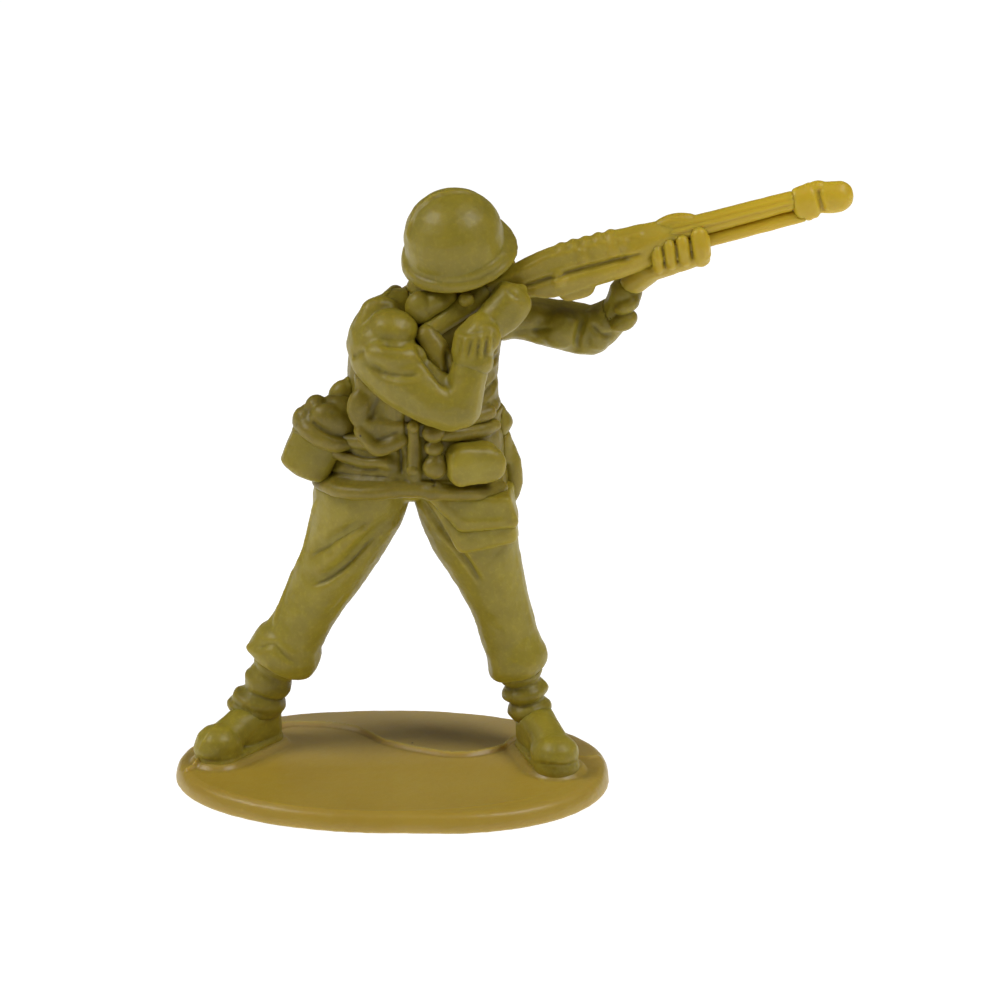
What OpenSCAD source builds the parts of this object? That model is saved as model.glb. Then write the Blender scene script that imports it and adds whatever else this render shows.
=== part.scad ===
// Toy rifleman, 1:33 scale: a standing figure that aims a rifle to +X, on an oval base plate.
// The real toy is one moulding. Each sculpted piece is a solid of its own here, trimmed to meet its
// neighbours face to face. Millimetres, +Z up, origin at the middle of the base plate's underside.
// The figure faces -Y. Its heights are measured from the top of the base plate.

/* [Base plate] */
// Length of the base plate along X
base_l = 37; // [34:0.5:42]
// Width of the base plate along Y
base_w = 25; // [20:0.5:28]
// Thickness of the base plate
base_t = 1.7; // [1.2:0.1:2.6]
// Height of the sloped edge round the top of the base plate
base_edge = 0.8; // [0.3:0.1:1]
// How far the figure stands in front of the plate's middle
figure_forward = 0.5; // [0:0.1:1]

/* [Boots and legs] */
// Thickness of the boot soles
sole_t = 0.9; // [0.6:0.1:1.2]
// Half-width of a sole at the ball of the foot
ball_r = 1.95; // [1.7:0.05:2.1]
// Half-width of a sole at the heel
heel_r = 1.5; // [1.3:0.05:1.7]
// Height at which the trouser legs meet the jacket's hem
hem_z = 24.3; // [24:0.1:25]

/* [Jacket] */
// Height of the belt's middle
belt_z = 30.4; // [30:0.1:31]
// Height of the waist belt's band
belt_h = 1.1; // [0.8:0.1:1.4]
// How far the belt and the hem stand out of the cloth
band_proud = 0.35; // [0.2:0.05:0.5]

/* [Helmet] */
// Radius of the helmet's dome
dome_r = 4.15; // [4:0.05:4.5]
// Height of the dome above the rim
dome_h = 5.6; // [5.4:0.1:6.2]
// How far the rim stands out past the dome
rim_proud = 0.55; // [0.3:0.05:0.7]
// Lean of the head towards the rifle, in degrees
head_roll = 24; // [18:1:28]
// Lift of the chin, in degrees
head_pitch = 11; // [6:1:15]

/* [Rifle] */
// Angle of the rifle above level, in degrees
rifle_angle = 15.3; // [14:0.1:17]
// Radius of the barrel with its guard
barrel_r = 0.92; // [0.8:0.02:1]
// Radius of the tube under the barrel
tube_r = 0.56; // [0.45:0.01:0.65]
// Thickness of the stock and the receiver
stock_t = 2; // [1.8:0.1:2.2]

/* [Hidden] */

plastic = [0.62, 0.54, 0.19];
ring_fn = 20;   // facets of a cloth section
ball_fn = 14;   // facets of a rounded lump
skin = 0.01;    // thickness of a section disc

// Feet: heel centre and ball centre of each sole
heel_right = [-11.0, 4.3];
toe_right = [-14.8, 0];
heel_left = [12.03, 2.57];
toe_left = [14.0, -2.4];

// Sections of the cloth, each [x, y, z, half-width, half-depth, tilt about Y]
legging_right = [[-11.9, 3.8, 3.3, 2.0, 1.9, 10], [-11.5, 3.7, 4.2, 2.25, 2.05, 12],
    [-10.9, 3.6, 5.1, 1.8, 1.8, 16], [-10.6, 3.5, 6.0, 2.0, 1.95, 20], [-10.3, 3.4, 6.8, 1.8, 1.8, 24],
    [-10.0, 3.4, 7.5, 1.9, 1.85, 26], [-9.7, 3.3, 8.2, 1.8, 1.8, 27], [-9.5, 3.3, 8.7, 1.7, 1.7, 27],
    [-9.3, 3.3, 9.1, 1.6, 1.6, 27]];
legging_left = [[11.87, 2.73, 3.17, 1.62, 1.72, -6], [11.7, 2.8, 4.0, 1.75, 1.9, -8],
    [11.5, 2.8, 4.7, 1.55, 1.7, -10], [11.3, 2.9, 5.5, 1.8, 1.9, -12], [11.15, 2.9, 6.3, 1.6, 1.7, -14],
    [11.0, 2.9, 7.0, 1.75, 1.85, -16], [10.9, 2.9, 7.6, 1.6, 1.7, -17], [10.75, 2.9, 8.1, 1.6, 1.65, -17],
    [10.6, 2.9, 8.5, 1.5, 1.6, -17]];
leg_right = [[-2.2, 3, 26, 4.0, 4.2, 0], [-2.4, 3, 23.4, 4.05, 4.2, 4], [-2.8, 3, 21.5, 3.8, 4.0, 10],
    [-3.7, 3, 19.2, 3.3, 3.5, 18], [-4.5, 3, 17.5, 3.0, 3.3, 23], [-5.3, 3, 16.0, 2.8, 3.1, 26],
    [-6.2, 3, 14.4, 2.55, 2.9, 28], [-7.0, 3, 12.9, 2.4, 2.7, 28], [-7.8, 3.1, 11.4, 2.4, 2.6, 28],
    [-8.7, 3.2, 9.7, 2.5, 2.6, 27]];
leg_left = [[6.1, 3, 26, 4.2, 4.2, 0], [6.2, 3, 23.0, 4.25, 4.2, -4], [6.6, 3, 20.9, 3.95, 4.0, -10],
    [7.1, 3, 19.2, 3.65, 3.7, -14], [7.75, 3, 17.4, 3.15, 3.4, -17], [8.45, 3, 15.6, 2.8, 3.1, -18],
    [9.05, 3, 13.8, 2.5, 2.9, -19], [9.55, 3, 12.2, 2.4, 2.7, -19], [9.95, 3, 10.6, 2.4, 2.6, -18],
    [10.4, 2.9, 9.0, 2.5, 2.6, -17]];
cuff_right = [[-8.3, 3.2, 10.4, 2.4, 2.5, 27], [-8.6, 3.2, 9.9, 2.85, 2.85, 27], [-9.0, 3.2, 9.1, 3.0, 3.0, 27],
    [-9.4, 3.3, 8.4, 3.0, 3.0, 27], [-9.65, 3.3, 7.9, 2.75, 2.75, 27], [-9.75, 3.3, 7.7, 2.3, 2.4, 27]];
cuff_left = [[10.25, 2.9, 9.5, 2.35, 2.5, -17], [10.4, 2.9, 9.0, 2.6, 2.75, -17], [10.6, 2.9, 8.4, 2.7, 2.85, -17],
    [10.75, 2.9, 7.8, 2.65, 2.8, -17], [10.85, 2.9, 7.4, 2.4, 2.55, -17], [10.9, 2.9, 7.2, 2.0, 2.2, -17]];
skirt = [[1.7, 2.6, hem_z, 7.75, 5.3, 0], [1.8, 2.6, 25.6, 7.6, 5.2, 0], [2.0, 2.6, 26.4, 7.45, 5.1, 0],
    [2.2, 2.6, 27.2, 7.3, 5.0, 0], [2.4, 2.6, 28, 7.1, 4.9, 0], [2.5, 2.6, 28.8, 6.9, 4.8, 0],
    [2.6, 2.6, 29.6, 6.6, 4.7, 0], [2.6, 2.6, belt_z, 6.35, 4.55, 0]];
chest = [[2.6, 2.6, belt_z, 6.35, 4.55, 0], [2.7, 2.6, 31.2, 6.4, 4.75, 0], [2.75, 2.6, 32.2, 6.3, 4.8, 0],
    [2.7, 2.7, 33.5, 6.25, 4.7, 0], [2.8, 2.7, 35.2, 6.3, 4.6, 0], [3.0, 2.8, 36.8, 6.3, 4.3, 0],
    [3.4, 2.8, 38.2, 5.8, 4.1, 0], [3.8, 2.8, 39.4, 5.1, 3.7, 0], [4.1, 2.8, 40.4, 4.1, 3.2, 0],
    [4.3, 2.8, 41.2, 3.0, 2.6, 0]];

// Arms: middle and radius of each rounded section, [x, y, z, radius]
upper_arm_right = [[1.0, 1.9, 39.0, 2.4], [-0.2, 1.0, 38.4, 2.6], [-0.75, 0, 37.4, 2.75],
    [-0.5, -1.0, 36.7, 2.8], [0.3, -1.9, 36.0, 2.75], [1.4, -2.7, 35.1, 2.6], [2.6, -3.3, 34.3, 2.4],
    [3.8, -3.9, 33.6, 2.2], [5.0, -4.3, 33.0, 1.9], [5.9, -4.4, 33.1, 1.7]];
forearm_right = [[6.0, -4.4, 33.2, 1.8], [6.4, -4.3, 34.4, 1.75], [6.7, -4.1, 35.4, 1.7],
    [6.9, -3.9, 36.4, 1.65], [7.1, -3.6, 37.3, 1.6]];
cuff_arm_right = [[7.0, -3.7, 37.6, 1.75], [7.2, -3.4, 38.3, 1.9], [7.6, -3.1, 39.0, 1.65]];
upper_arm_left = [[9.0, 3.6, 38.8, 2.3], [10.3, 3.8, 38.6, 1.9], [11.6, 4.0, 38.3, 1.85],
    [13.0, 4.1, 37.9, 1.95], [14.5, 4.2, 37.6, 2.05], [15.8, 4.2, 37.3, 2.1], [16.8, 4.1, 37.1, 1.95]];
forearm_left = [[16.9, 4.1, 37.2, 1.9], [17.7, 3.9, 37.8, 1.75], [18.3, 3.5, 38.4, 1.55], [18.7, 3.2, 38.9, 1.4]];
cuff_arm_left = [[18.9, 3.0, 39.1, 1.3], [19.1, 2.8, 40.0, 1.15], [19.6, 2.4, 40.9, 1.4]];

// Web strap: middle and radius of each rounded section, from the chest over the shoulder to the belt
strap_run = [[-0.7, -0.9, 39.4, 0.6], [-0.5, 0.1, 40.3, 0.65], [0.0, 1.6, 40.7, 0.65], [0.5, 3.4, 40.6, 0.65],
    [0.8, 5.2, 39.7, 0.65], [1.0, 6.6, 37.6, 0.65], [1.1, 7.2, 35.0, 0.65], [1.2, 7.3, 33, 0.65],
    [1.2, 7.2, 30.9, 0.65]];

// Rifle: the point that its own axes start from, at the grip behind the receiver
grip = [10.2, 0.5, 42.5];

// Head: middle of the helmet's rim
rim_centre = [5.7, 1.4, 44.7];
head_r = 3.3;

module disc(s) translate([s[0], s[1], s[2]]) rotate([0, s[5], 0])
    scale([s[3], s[4], 1]) cylinder(r = 1, h = skin, center = true, $fn = ring_fn);

// A limb or a trunk of cloth: sections joined one to the next
module cloth(sections) for (i = [0 : len(sections) - 2]) hull() {
    disc(sections[i]);
    disc(sections[i + 1]);
}

// The same sections, wider all round
function wider(sections, by) = [for (s = sections) [s[0], s[1], s[2], s[3] + by, s[4] + by, s[5]]];

module ball(s) translate([s[0], s[1], s[2]]) sphere(r = s[3], $fn = ball_fn);

// A sleeve: balls joined one to the next
module sleeve(balls) for (i = [0 : len(balls) - 2]) hull() {
    ball(balls[i]);
    ball(balls[i + 1]);
}

// A rounded lump with its own half-sizes and turn
module lump(at, half, turn = [0, 0, 0]) translate(at) rotate(turn) scale(half) sphere(r = 1, $fn = ball_fn);

// A slab with rounded corners, thickness along Y
module slab(size, round_r) rotate([90, 0, 0]) linear_extrude(size[1], center = true)
    offset(r = round_r, $fn = 24) square([size[0] - 2 * round_r, size[2] - 2 * round_r], center = true);

// Stands what it holds on the base plate
module on_base() translate([0, -figure_forward, base_t]) children();

// Places what it holds in the rifle's own axes: X along the barrel, Z up
module in_rifle() translate(grip) rotate([0, -rifle_angle, 0]) children();

// Places what it holds in the helmet's own axes: Z out of the crown, +X to the peak
module in_head() translate(rim_centre) rotate([head_roll, 0, 0]) rotate([0, -head_pitch, 0]) children();

// ---------------------------------------------------------------- base plate
// Blunt oval: its right end is fuller in front, its left end fuller behind
module base_slice(z, inset) translate([0, 0, z]) linear_extrude(skin) hull() {
    scale([base_l / 2 - inset, base_w / 2 - inset]) circle(r = 1, $fn = 72);
    translate([base_l * 0.13, -base_w * 0.05]) scale([base_l * 0.37 - inset, base_w * 0.455 - inset])
        circle(r = 1, $fn = 48);
    translate([-base_l * 0.1, base_w * 0.03]) scale([base_l * 0.385 - inset, base_w * 0.46 - inset])
        circle(r = 1, $fn = 48);
}

module base_plate() color(plastic) {
    hull() {
        base_slice(0, 0.25);
        base_slice(0.25, 0);
        base_slice(base_t - base_edge, 0.1);
    }
    hull() {
        base_slice(base_t - base_edge, 0.1);
        base_slice(base_t - base_edge * 0.3, 0.35);
        base_slice(base_t - skin, 0.8);
    }
}

// ---------------------------------------------------------------- boots
module sole_outline(heel, toe) hull() {
    translate(heel) circle(r = heel_r, $fn = 32);
    translate(toe) circle(r = ball_r, $fn = 32);
}

module right_sole() color(plastic) on_base() linear_extrude(sole_t) sole_outline(heel_right, toe_right);
module left_sole() color(plastic) on_base() linear_extrude(sole_t) sole_outline(heel_left, toe_left);

// The boot's upper: toe cap, instep and heel, closed flat on the sole
module boot_form(heel, toe) {
    along = toe - heel;
    turn = [0, 0, atan2(along[1], along[0])];
    instep = heel + along * 0.5;
    ankle = heel + along * 0.06;
    hull() {
        lump([toe[0], toe[1], 1.9], [2.0, 1.85, 1.45], turn);
        lump([toe[0], toe[1], sole_t + 0.3], [1.9, 1.8, 0.4], turn);
    }
    hull() {
        lump([toe[0], toe[1], 1.7], [1.7, 1.6, 1.3], turn);
        lump([instep[0], instep[1], 2.6], [1.5, 1.5, 1.5], turn);
    }
    hull() {
        lump([instep[0], instep[1], 2.6], [1.5, 1.5, 1.5], turn);
        lump([ankle[0], ankle[1], 3.4], [1.6, 1.6, 1.2], turn);
    }
    hull() {
        lump([heel[0], heel[1], sole_t + 0.4], [1.45, 1.4, 0.5], turn);
        lump([ankle[0], ankle[1], 3.4], [1.6, 1.6, 1.2], turn);
        lump([instep[0], instep[1], sole_t + 0.5], [1.5, 1.4, 0.6], turn);
    }
}

module above_sole() translate([-25, -25, sole_t]) cube([50, 50, 60]);

module right_boot() color(plastic) on_base() difference() {
    intersection() {
        boot_form(heel_right, toe_right);
        above_sole();
    }
    cloth(legging_right);
}
module left_boot() color(plastic) on_base() difference() {
    intersection() {
        boot_form(heel_left, toe_left);
        above_sole();
    }
    cloth(legging_left);
}

// ---------------------------------------------------------------- leggings and trousers
module right_legging() color(plastic) on_base() difference() {
    cloth(legging_right);
    cloth(cuff_right);
}
module left_legging() color(plastic) on_base() difference() {
    cloth(legging_left);
    cloth(cuff_left);
}

module right_trouser_cuff() color(plastic) on_base() cloth(cuff_right);
module left_trouser_cuff() color(plastic) on_base() cloth(cuff_left);

// Half of the space under the hem, split where the two legs meet
module leg_space(side) translate([1.8 + (side < 0 ? -40 : 0), -20, 0]) cube([40, 40, hem_z]);

module right_trouser_leg() color(plastic) on_base() difference() {
    intersection() {
        cloth(leg_right);
        leg_space(-1);
    }
    cloth(cuff_right);
}
module left_trouser_leg() color(plastic) on_base() difference() {
    intersection() {
        cloth(leg_left);
        leg_space(1);
    }
    cloth(cuff_left);
}

// The thigh pocket: a slab on the front of the left leg, cut off at the hem
module pocket_form(drop, proud) hull()
    for (p = [[3.6, 24.4], [9.6, 24.4], [10.3, 24 - drop], [6.0, 23.6 - drop]])
        translate([p[0], -1.1 - proud, p[1]]) sphere(r = 0.35, $fn = 10);

module pocket_block(drop, proud) hull() {
    pocket_form(drop, proud);
    translate([0, 3, 0]) pocket_form(drop, proud);
}

module cargo_pocket() color(plastic) on_base() difference() {
    intersection() {
        pocket_block(3.9, 0.05);
        leg_space(1);
    }
    cloth(leg_left);
    pocket_block(1.9, 0.45);
}
module cargo_pocket_flap() color(plastic) on_base() difference() {
    intersection() {
        pocket_block(1.9, 0.45);
        leg_space(1);
    }
    cloth(leg_left);
}

// ---------------------------------------------------------------- jacket
module jacket_skirt() color(plastic) on_base() cloth(skirt);

module jacket_hem() color(plastic) on_base() difference() {
    cloth([for (s = wider(skirt, band_proud)) if (s[2] < 26) s]);
    cloth(skirt);
}

module belt_form() for (i = [-1, 1]) hull() {
    disc([2.6, 2.6, belt_z, 6.35 + band_proud, 4.55 + band_proud, 0]);
    disc([2.65, 2.6, belt_z + i * belt_h / 2, 6.4 + band_proud, 4.6 + band_proud, 0]);
}

module waist_belt() color(plastic) on_base() difference() {
    belt_form();
    cloth(skirt);
    cloth(chest);
}

module jacket_pocket_flap() color(plastic) on_base() difference() {
    translate([-1.6, -1.8, 27.8]) rotate([0, 0, -12]) slab([4.7, 2.4, 1.6], 0.6);
    cloth(skirt);
    side_pouch_flap_form();
}

module placket() color(plastic) on_base() difference() {
    translate([2.05, -1.6, 29.0]) rotate([0, 4, 0]) slab([1.5, 2.8, 4.2], 0.4);
    cloth(skirt);
    cloth(chest);
    belt_form();
}

module placket_buttons() color(plastic) on_base() difference() {
    for (b = [[27.7, 0.8], [29.15, 0.6], [30.45, 0.75]]) lump([3.8, -2.3, b[0]], [b[1], 0.75, b[1]]);
    cloth(skirt);
    cloth(chest);
    belt_form();
}

// ---------------------------------------------------------------- pouches and sheath
module front_pouch() color(plastic) on_base() difference() {
    translate([7.0, -1.7, 27.9]) rotate([0, 0, 18]) rotate([90, 0, 0]) linear_extrude(2.8, center = true)
        offset(r = 0.8, $fn = 24) polygon([[-1.4, -1.0], [1.35, -0.8], [1.4, -0.1], [0.75, 0.3], [-1.4, 0.5]]);
    cloth(skirt);
    belt_form();
}

// A soft bag under the right elbow, with a lip along its lower edge
module side_pouch_form() hull() for (p = [[-2.1, 34.6], [1.0, 34.2], [1.1, 31.2], [-0.6, 30.9], [-2.0, 31.5]])
    translate([p[0], -1.0 - 0.1 * p[0], p[1]]) scale([1, 1.4, 1]) sphere(r = 0.75, $fn = 12);

module side_pouch() color(plastic) on_base() difference() {
    side_pouch_form();
    cloth(chest);
    side_pouch_flap_form();
    sleeve(upper_arm_right);
    belt_form();
}
module side_pouch_flap_form() hull()
    for (p = [[-1.9, 30.3], [-0.9, 29.7], [0.9, 30.1], [0.9, 30.7], [-1.9, 31.0]])
        translate([p[0], -1.2 - 0.1 * p[0], p[1]]) scale([1, 1.7, 1]) sphere(r = 0.72, $fn = 12);

module side_pouch_flap() color(plastic) on_base() difference() {
    side_pouch_flap_form();
    cloth(chest);
    cloth(skirt);
    belt_form();
}

module hip_sheath_form() hull() {
    lump([9.3, 3.3, 28.2], [0.75, 1.0, 0.7]);
    lump([9.9, 3.6, 24.2], [0.85, 1.1, 0.7]);
    lump([9.8, 3.6, 23.4], [0.6, 0.9, 0.8]);
}
module hip_sheath() color(plastic) on_base() difference() {
    hip_sheath_form();
    cloth(skirt);
    cloth(leg_left);
    hip_sheath_flap_form();
    cloth([for (s = wider(skirt, band_proud)) if (s[2] < 26) s]);
}
module hip_sheath_flap_form() hull() {
    lump([8.7, 3.2, 30.6], [0.8, 1.2, 0.7]);
    lump([9.3, 3.3, 29.4], [0.95, 1.3, 0.7]);
    lump([9.2, 3.3, 28.7], [0.7, 1.2, 0.5]);
}
module hip_sheath_flap() color(plastic) on_base() difference() {
    hip_sheath_flap_form();
    cloth(skirt);
    cloth(chest);
    belt_form();
}

// The canteen hangs behind the right hip, its neck leaning in towards the belt
canteen_at = [-6.3, 1.2, 27.6];
canteen_lean = [0, 24, 0];
module canteen_form() translate(canteen_at) rotate(canteen_lean) {
    hull() {
        translate([0, 0, -1.7]) scale([2.35, 2.0, 0.7]) sphere(r = 1, $fn = 20);
        translate([0, 0, 1.1]) scale([2.45, 2.05, 1]) cylinder(r = 1, h = 0.5, $fn = 20);
    }
}
module canteen_flap_form() translate(canteen_at) rotate(canteen_lean) {
    hull() {
        translate([0.1, 0, 1.5]) scale([2.75, 2.3, 0.6]) sphere(r = 1, $fn = 18);
        translate([0.3, 0, 2.9]) scale([2.6, 2.2, 0.9]) sphere(r = 1, $fn = 18);
    }
    hull() {
        translate([0.3, 0, 2.9]) scale([2.2, 1.9, 0.9]) sphere(r = 1, $fn = 18);
        translate([0.9, 0, 4.6]) scale([1.7, 1.6, 0.9]) sphere(r = 1, $fn = 18);
    }
}
module canteen() color(plastic) on_base() difference() {
    canteen_form();
    canteen_flap_form();
    cloth(skirt);
    cloth(wider(skirt, band_proud));
    cloth(chest);
}
module canteen_flap() color(plastic) on_base() difference() {
    canteen_flap_form();
    cloth(skirt);
    cloth(chest);
    belt_form();
}
module canteen_strap() color(plastic) on_base() difference() {
    hull() {
        lump([-4.2, 1.6, 31.6], [0.9, 1.0, 0.8]);
        lump([-3.2, 1.9, 33.0], [0.8, 1.0, 0.8]);
    }
    canteen_flap_form();
    cloth(skirt);
    cloth(chest);
    belt_form();
}

// ---------------------------------------------------------------- chest, collar and straps
module jacket_chest() color(plastic) on_base() cloth(chest);

module collar() color(plastic) on_base() difference() {
    union() {
        hull() {
            disc([4.3, 2.7, 40.5, 3.3, 2.9, 0]);
            disc([4.7, 2.5, 42.2, 2.7, 2.4, 8]);
        }
        hull() {
            lump([3.0, -0.2, 40.2], [1.1, 1.4, 0.9]);
            lump([4.1, -0.4, 41.2], [1.3, 1.4, 0.9]);
        }
    }
    cloth(chest);
    head_form();
    neck_form();
    rifle_butt_form();
    sleeve(upper_arm_right);
}

// A web strap that runs over the right shoulder and down the back to the belt
module shoulder_strap() color(plastic) on_base() difference() {
    sleeve(strap_run);
    cloth(chest);
    sleeve(upper_arm_right);
    belt_form();
}

// ---------------------------------------------------------------- arms and hands
module right_upper_sleeve() color(plastic) on_base() difference() {
    sleeve(upper_arm_right);
    cloth(chest);
    rifle_butt_form();
}
module right_forearm_sleeve() color(plastic) on_base() difference() {
    sleeve(forearm_right);
    sleeve(upper_arm_right);
    cloth(chest);
    sleeve(cuff_arm_right);
}
module right_cuff() color(plastic) on_base() difference() {
    sleeve(cuff_arm_right);
    cloth(chest);
}

// Two rows of knuckles of the hand closed round the grip
module right_hand_form() {
    hull() {
        lump([8.2, -2.5, 39.4], [1.2, 0.9, 0.8], [0, -45, 0]);
        lump([9.7, -1.6, 40.9], [1.45, 0.9, 1.0], [0, -45, 0]);
    }
    hull() {
        lump([9.7, -1.6, 40.9], [1.4, 0.85, 1.0], [0, -45, 0]);
        lump([10.4, -1.2, 41.7], [1.2, 0.8, 0.7], [0, -45, 0]);
    }
    hull() {
        lump([8.8, -1.7, 41.2], [0.7, 0.7, 0.6]);
        lump([9.6, -0.7, 42.2], [0.7, 0.7, 0.5]);
    }
}
module right_hand() color(plastic) on_base() difference() {
    right_hand_form();
    sleeve(cuff_arm_right);
    rifle_stock_form();
    rifle_butt_form();
    rifle_receiver_form();
}

module left_upper_sleeve() color(plastic) on_base() difference() {
    sleeve(upper_arm_left);
    cloth(chest);
}
module left_forearm_sleeve() color(plastic) on_base() difference() {
    sleeve(forearm_left);
    sleeve(upper_arm_left);
    sleeve(cuff_arm_left);
}
module left_cuff() color(plastic) on_base() sleeve(cuff_arm_left);

// The palm lies under the fore-end, and four fingers close up its near side
module left_hand_form() {
    hull() {
        lump([20.2, 2.0, 41.9], [1.2, 1.2, 1.0], [0, -rifle_angle, 0]);
        lump([21.6, 1.3, 43.3], [1.3, 1.6, 1.0], [0, -rifle_angle, 0]);
    }
    hull() {
        lump([21.6, 1.3, 43.3], [1.3, 1.6, 1.0], [0, -rifle_angle, 0]);
        lump([25.0, 0.9, 44.5], [1.1, 1.5, 0.9], [0, -rifle_angle, 0]);
    }
}
module left_hand() color(plastic) on_base() difference() {
    left_hand_form();
    sleeve(cuff_arm_left);
    tube_form();
    barrel_form();
    rifle_receiver_form();
}
module finger_end(at, half) translate(at) scale(half) sphere(r = 1, $fn = 12);
module left_fingers() color(plastic) on_base() difference() {
    in_rifle() for (f = [[12.1, 0.42], [13.2, 0.45], [14.4, 0.5], [15.9, 0.65]]) hull() {
        finger_end([f[0] - 0.15, -0.7, -1.9], [f[1], 0.7, 0.5]);
        finger_end([f[0] + 0.1, -0.85, -0.45], [f[1], 0.6, 0.45]);
    }
    left_hand_form();
    tube_form();
    barrel_form();
    rifle_receiver_form();
}

// ---------------------------------------------------------------- head and helmet
module head_form() in_head() {
    hull() {
        translate([0, 0, 0.3]) scale([1, 0.86, 1]) sphere(r = head_r, $fn = 20);
        translate([1.0, 0, -2.6]) scale([2.0, 1.7, 1.3]) sphere(r = 1, $fn = 16);
    }
    translate([3.3, 0, -1.3]) scale([0.7, 0.45, 0.8]) sphere(r = 1, $fn = 12);
    translate([1.2, -1.6, -3.1]) scale([0.8, 0.9, 0.8]) sphere(r = 1, $fn = 12);
}
module neck_form() hull() {
    translate([4.6, 2.7, 40.9]) cylinder(r = 1.9, h = 0.1, $fn = 20);
    translate([5.4, 2.1, 43.4]) cylinder(r = 1.9, h = 0.1, $fn = 20);
}
module head() color(plastic) on_base() difference() {
    union() {
        head_form();
        neck_form();
    }
    cloth(chest);
    rifle_stock_form();
    rifle_butt_form();
    rifle_receiver_form();
}

module shell_form() in_head() intersection() {
    hull() {
        translate([0, 0, dome_h - dome_r]) sphere(r = dome_r, $fn = 26);
        translate([0, 0, 0.3]) cylinder(r = dome_r, h = 0.5, $fn = 26);
    }
    translate([-10, -10, 0.3]) cube([20, 20, 10]);
}
module rim_form() in_head() hull() {
    translate([0.1, 0, -0.5]) scale([1.04, 1, 1]) cylinder(r = dome_r + rim_proud, h = 0.3, $fn = 28);
    translate([0, 0, -0.3]) cylinder(r = dome_r + rim_proud - 0.1, h = 0.8, $fn = 28);
    translate([0, 0, 0.3]) cylinder(r = dome_r + 0.15, h = 0.5, $fn = 28);
}
module helmet_shell() color(plastic) on_base() difference() {
    shell_form();
    head_form();
    rim_form();
}
module helmet_rim() color(plastic) on_base() difference() {
    rim_form();
    head_form();
    rifle_stock_form();
    rifle_receiver_form();
}

// ---------------------------------------------------------------- rifle
// A flat bar of the rifle between two ends [x, top, bottom], thickness along Y
module bar(a, b, t) rotate([90, 0, 0]) linear_extrude(t, center = true)
    polygon([[a[0], a[2]], [b[0], b[2]], [b[0], b[1]], [a[0], a[1]]]);

module rifle_stock_form() in_rifle() {
    hull() {
        bar([-2.4, 0.3, -1.3], [-2.3, 0.3, -1.3], stock_t - 0.4);
        bar([0.5, 0.8, -1.0], [0.6, 0.8, -1.0], stock_t - 0.3);
    }
    hull() {
        bar([0.5, 0.8, -1.0], [0.6, 0.8, -1.0], stock_t - 0.3);
        bar([2.2, 1.35, -1.9], [2.3, 1.35, -1.9], stock_t - 0.1);
    }
}

// The butt drops below the barrel's line and lies across the front of the right shoulder
module rifle_butt_form() hull() {
    translate([2.9, -1.7, 38.4]) rotate([0, -32, 0]) scale([0.7, 0.8, 0.75]) sphere(r = 1, $fn = 16);
    translate([7.6, -0.1, 41.5]) rotate([0, -32, 0]) scale([0.9, 0.9, 1.0]) sphere(r = 1, $fn = 16);
}
module rifle_receiver_form() in_rifle() {
    hull() {
        bar([2.2, 1.35, -1.9], [2.3, 1.35, -1.9], stock_t - 0.1);
        bar([3.4, 1.55, -2.05], [3.5, 1.55, -2.05], stock_t);
    }
    hull() {
        bar([3.4, 1.55, -2.05], [3.5, 1.55, -2.05], stock_t);
        bar([11.2, 1.45, -1.4], [11.3, 1.45, -1.4], stock_t - 0.1);
    }
}
module barrel_form() in_rifle() translate([11.2, 0, 0.5]) rotate([0, 90, 0])
    cylinder(r1 = barrel_r, r2 = barrel_r - 0.14, h = 13.6, $fn = 40);
module tube_form() in_rifle() translate([11.2, 0, -0.9]) rotate([0, 90, 0]) cylinder(r = tube_r, h = 13.4, $fn = 32);

module rifle_butt() color(plastic) on_base() difference() {
    rifle_butt_form();
    cloth(chest);
    rifle_stock_form();
}
module rifle_stock() color(plastic) on_base() difference() {
    rifle_stock_form();
    rifle_receiver_form();
    cloth(chest);
}
module rifle_receiver() color(plastic) on_base() rifle_receiver_form();
module rifle_barrel() color(plastic) on_base() difference() {
    barrel_form();
    rifle_receiver_form();
    band_form();
}
module rifle_tube() color(plastic) on_base() difference() {
    tube_form();
    rifle_receiver_form();
    band_form();
    barrel_form();
}
module rear_sight() color(plastic) on_base() difference() {
    in_rifle() translate([14.2, 0, 1.15]) scale([1.35, 0.6, 0.7]) sphere(r = 1, $fn = 20);
    barrel_form();
}
module band_form() in_rifle() hull() {
    translate([24.3, 0, 0.1]) scale([0.5, 0.95, 1.35]) sphere(r = 1, $fn = 18);
    translate([25.5, 0, 0.1]) scale([0.5, 1.0, 1.5]) sphere(r = 1, $fn = 18);
}
module front_band() color(plastic) on_base() band_form();
module muzzle() color(plastic) on_base() difference() {
    in_rifle() hull() {
        translate([27.5, 0, -0.15]) scale([1.25, 1.1, 1.3]) sphere(r = 1, $fn = 18);
        translate([26.2, 0, 0.1]) scale([0.6, 0.8, 1.3]) sphere(r = 1, $fn = 18);
    }
    band_form();
}
module trigger_guard() color(plastic) on_base() difference() {
    in_rifle() hull() for (x = [4.3, 5.5])
        translate([x, 0, -2.1]) scale([0.9, 0.6, 0.8]) sphere(r = 1, $fn = 20);
    rifle_receiver_form();
}
module bolt_handle() color(plastic) on_base() difference() {
    in_rifle() {
        translate([3.8, -stock_t / 2, -0.6]) scale([0.65, 0.5, 0.6]) sphere(r = 1, $fn = 12);
        for (x = [6.2, 8.7]) translate([x, -stock_t / 2, 0.6]) scale([0.5, 0.35, 0.65]) sphere(r = 1, $fn = 12);
    }
    rifle_receiver_form();
}

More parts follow.
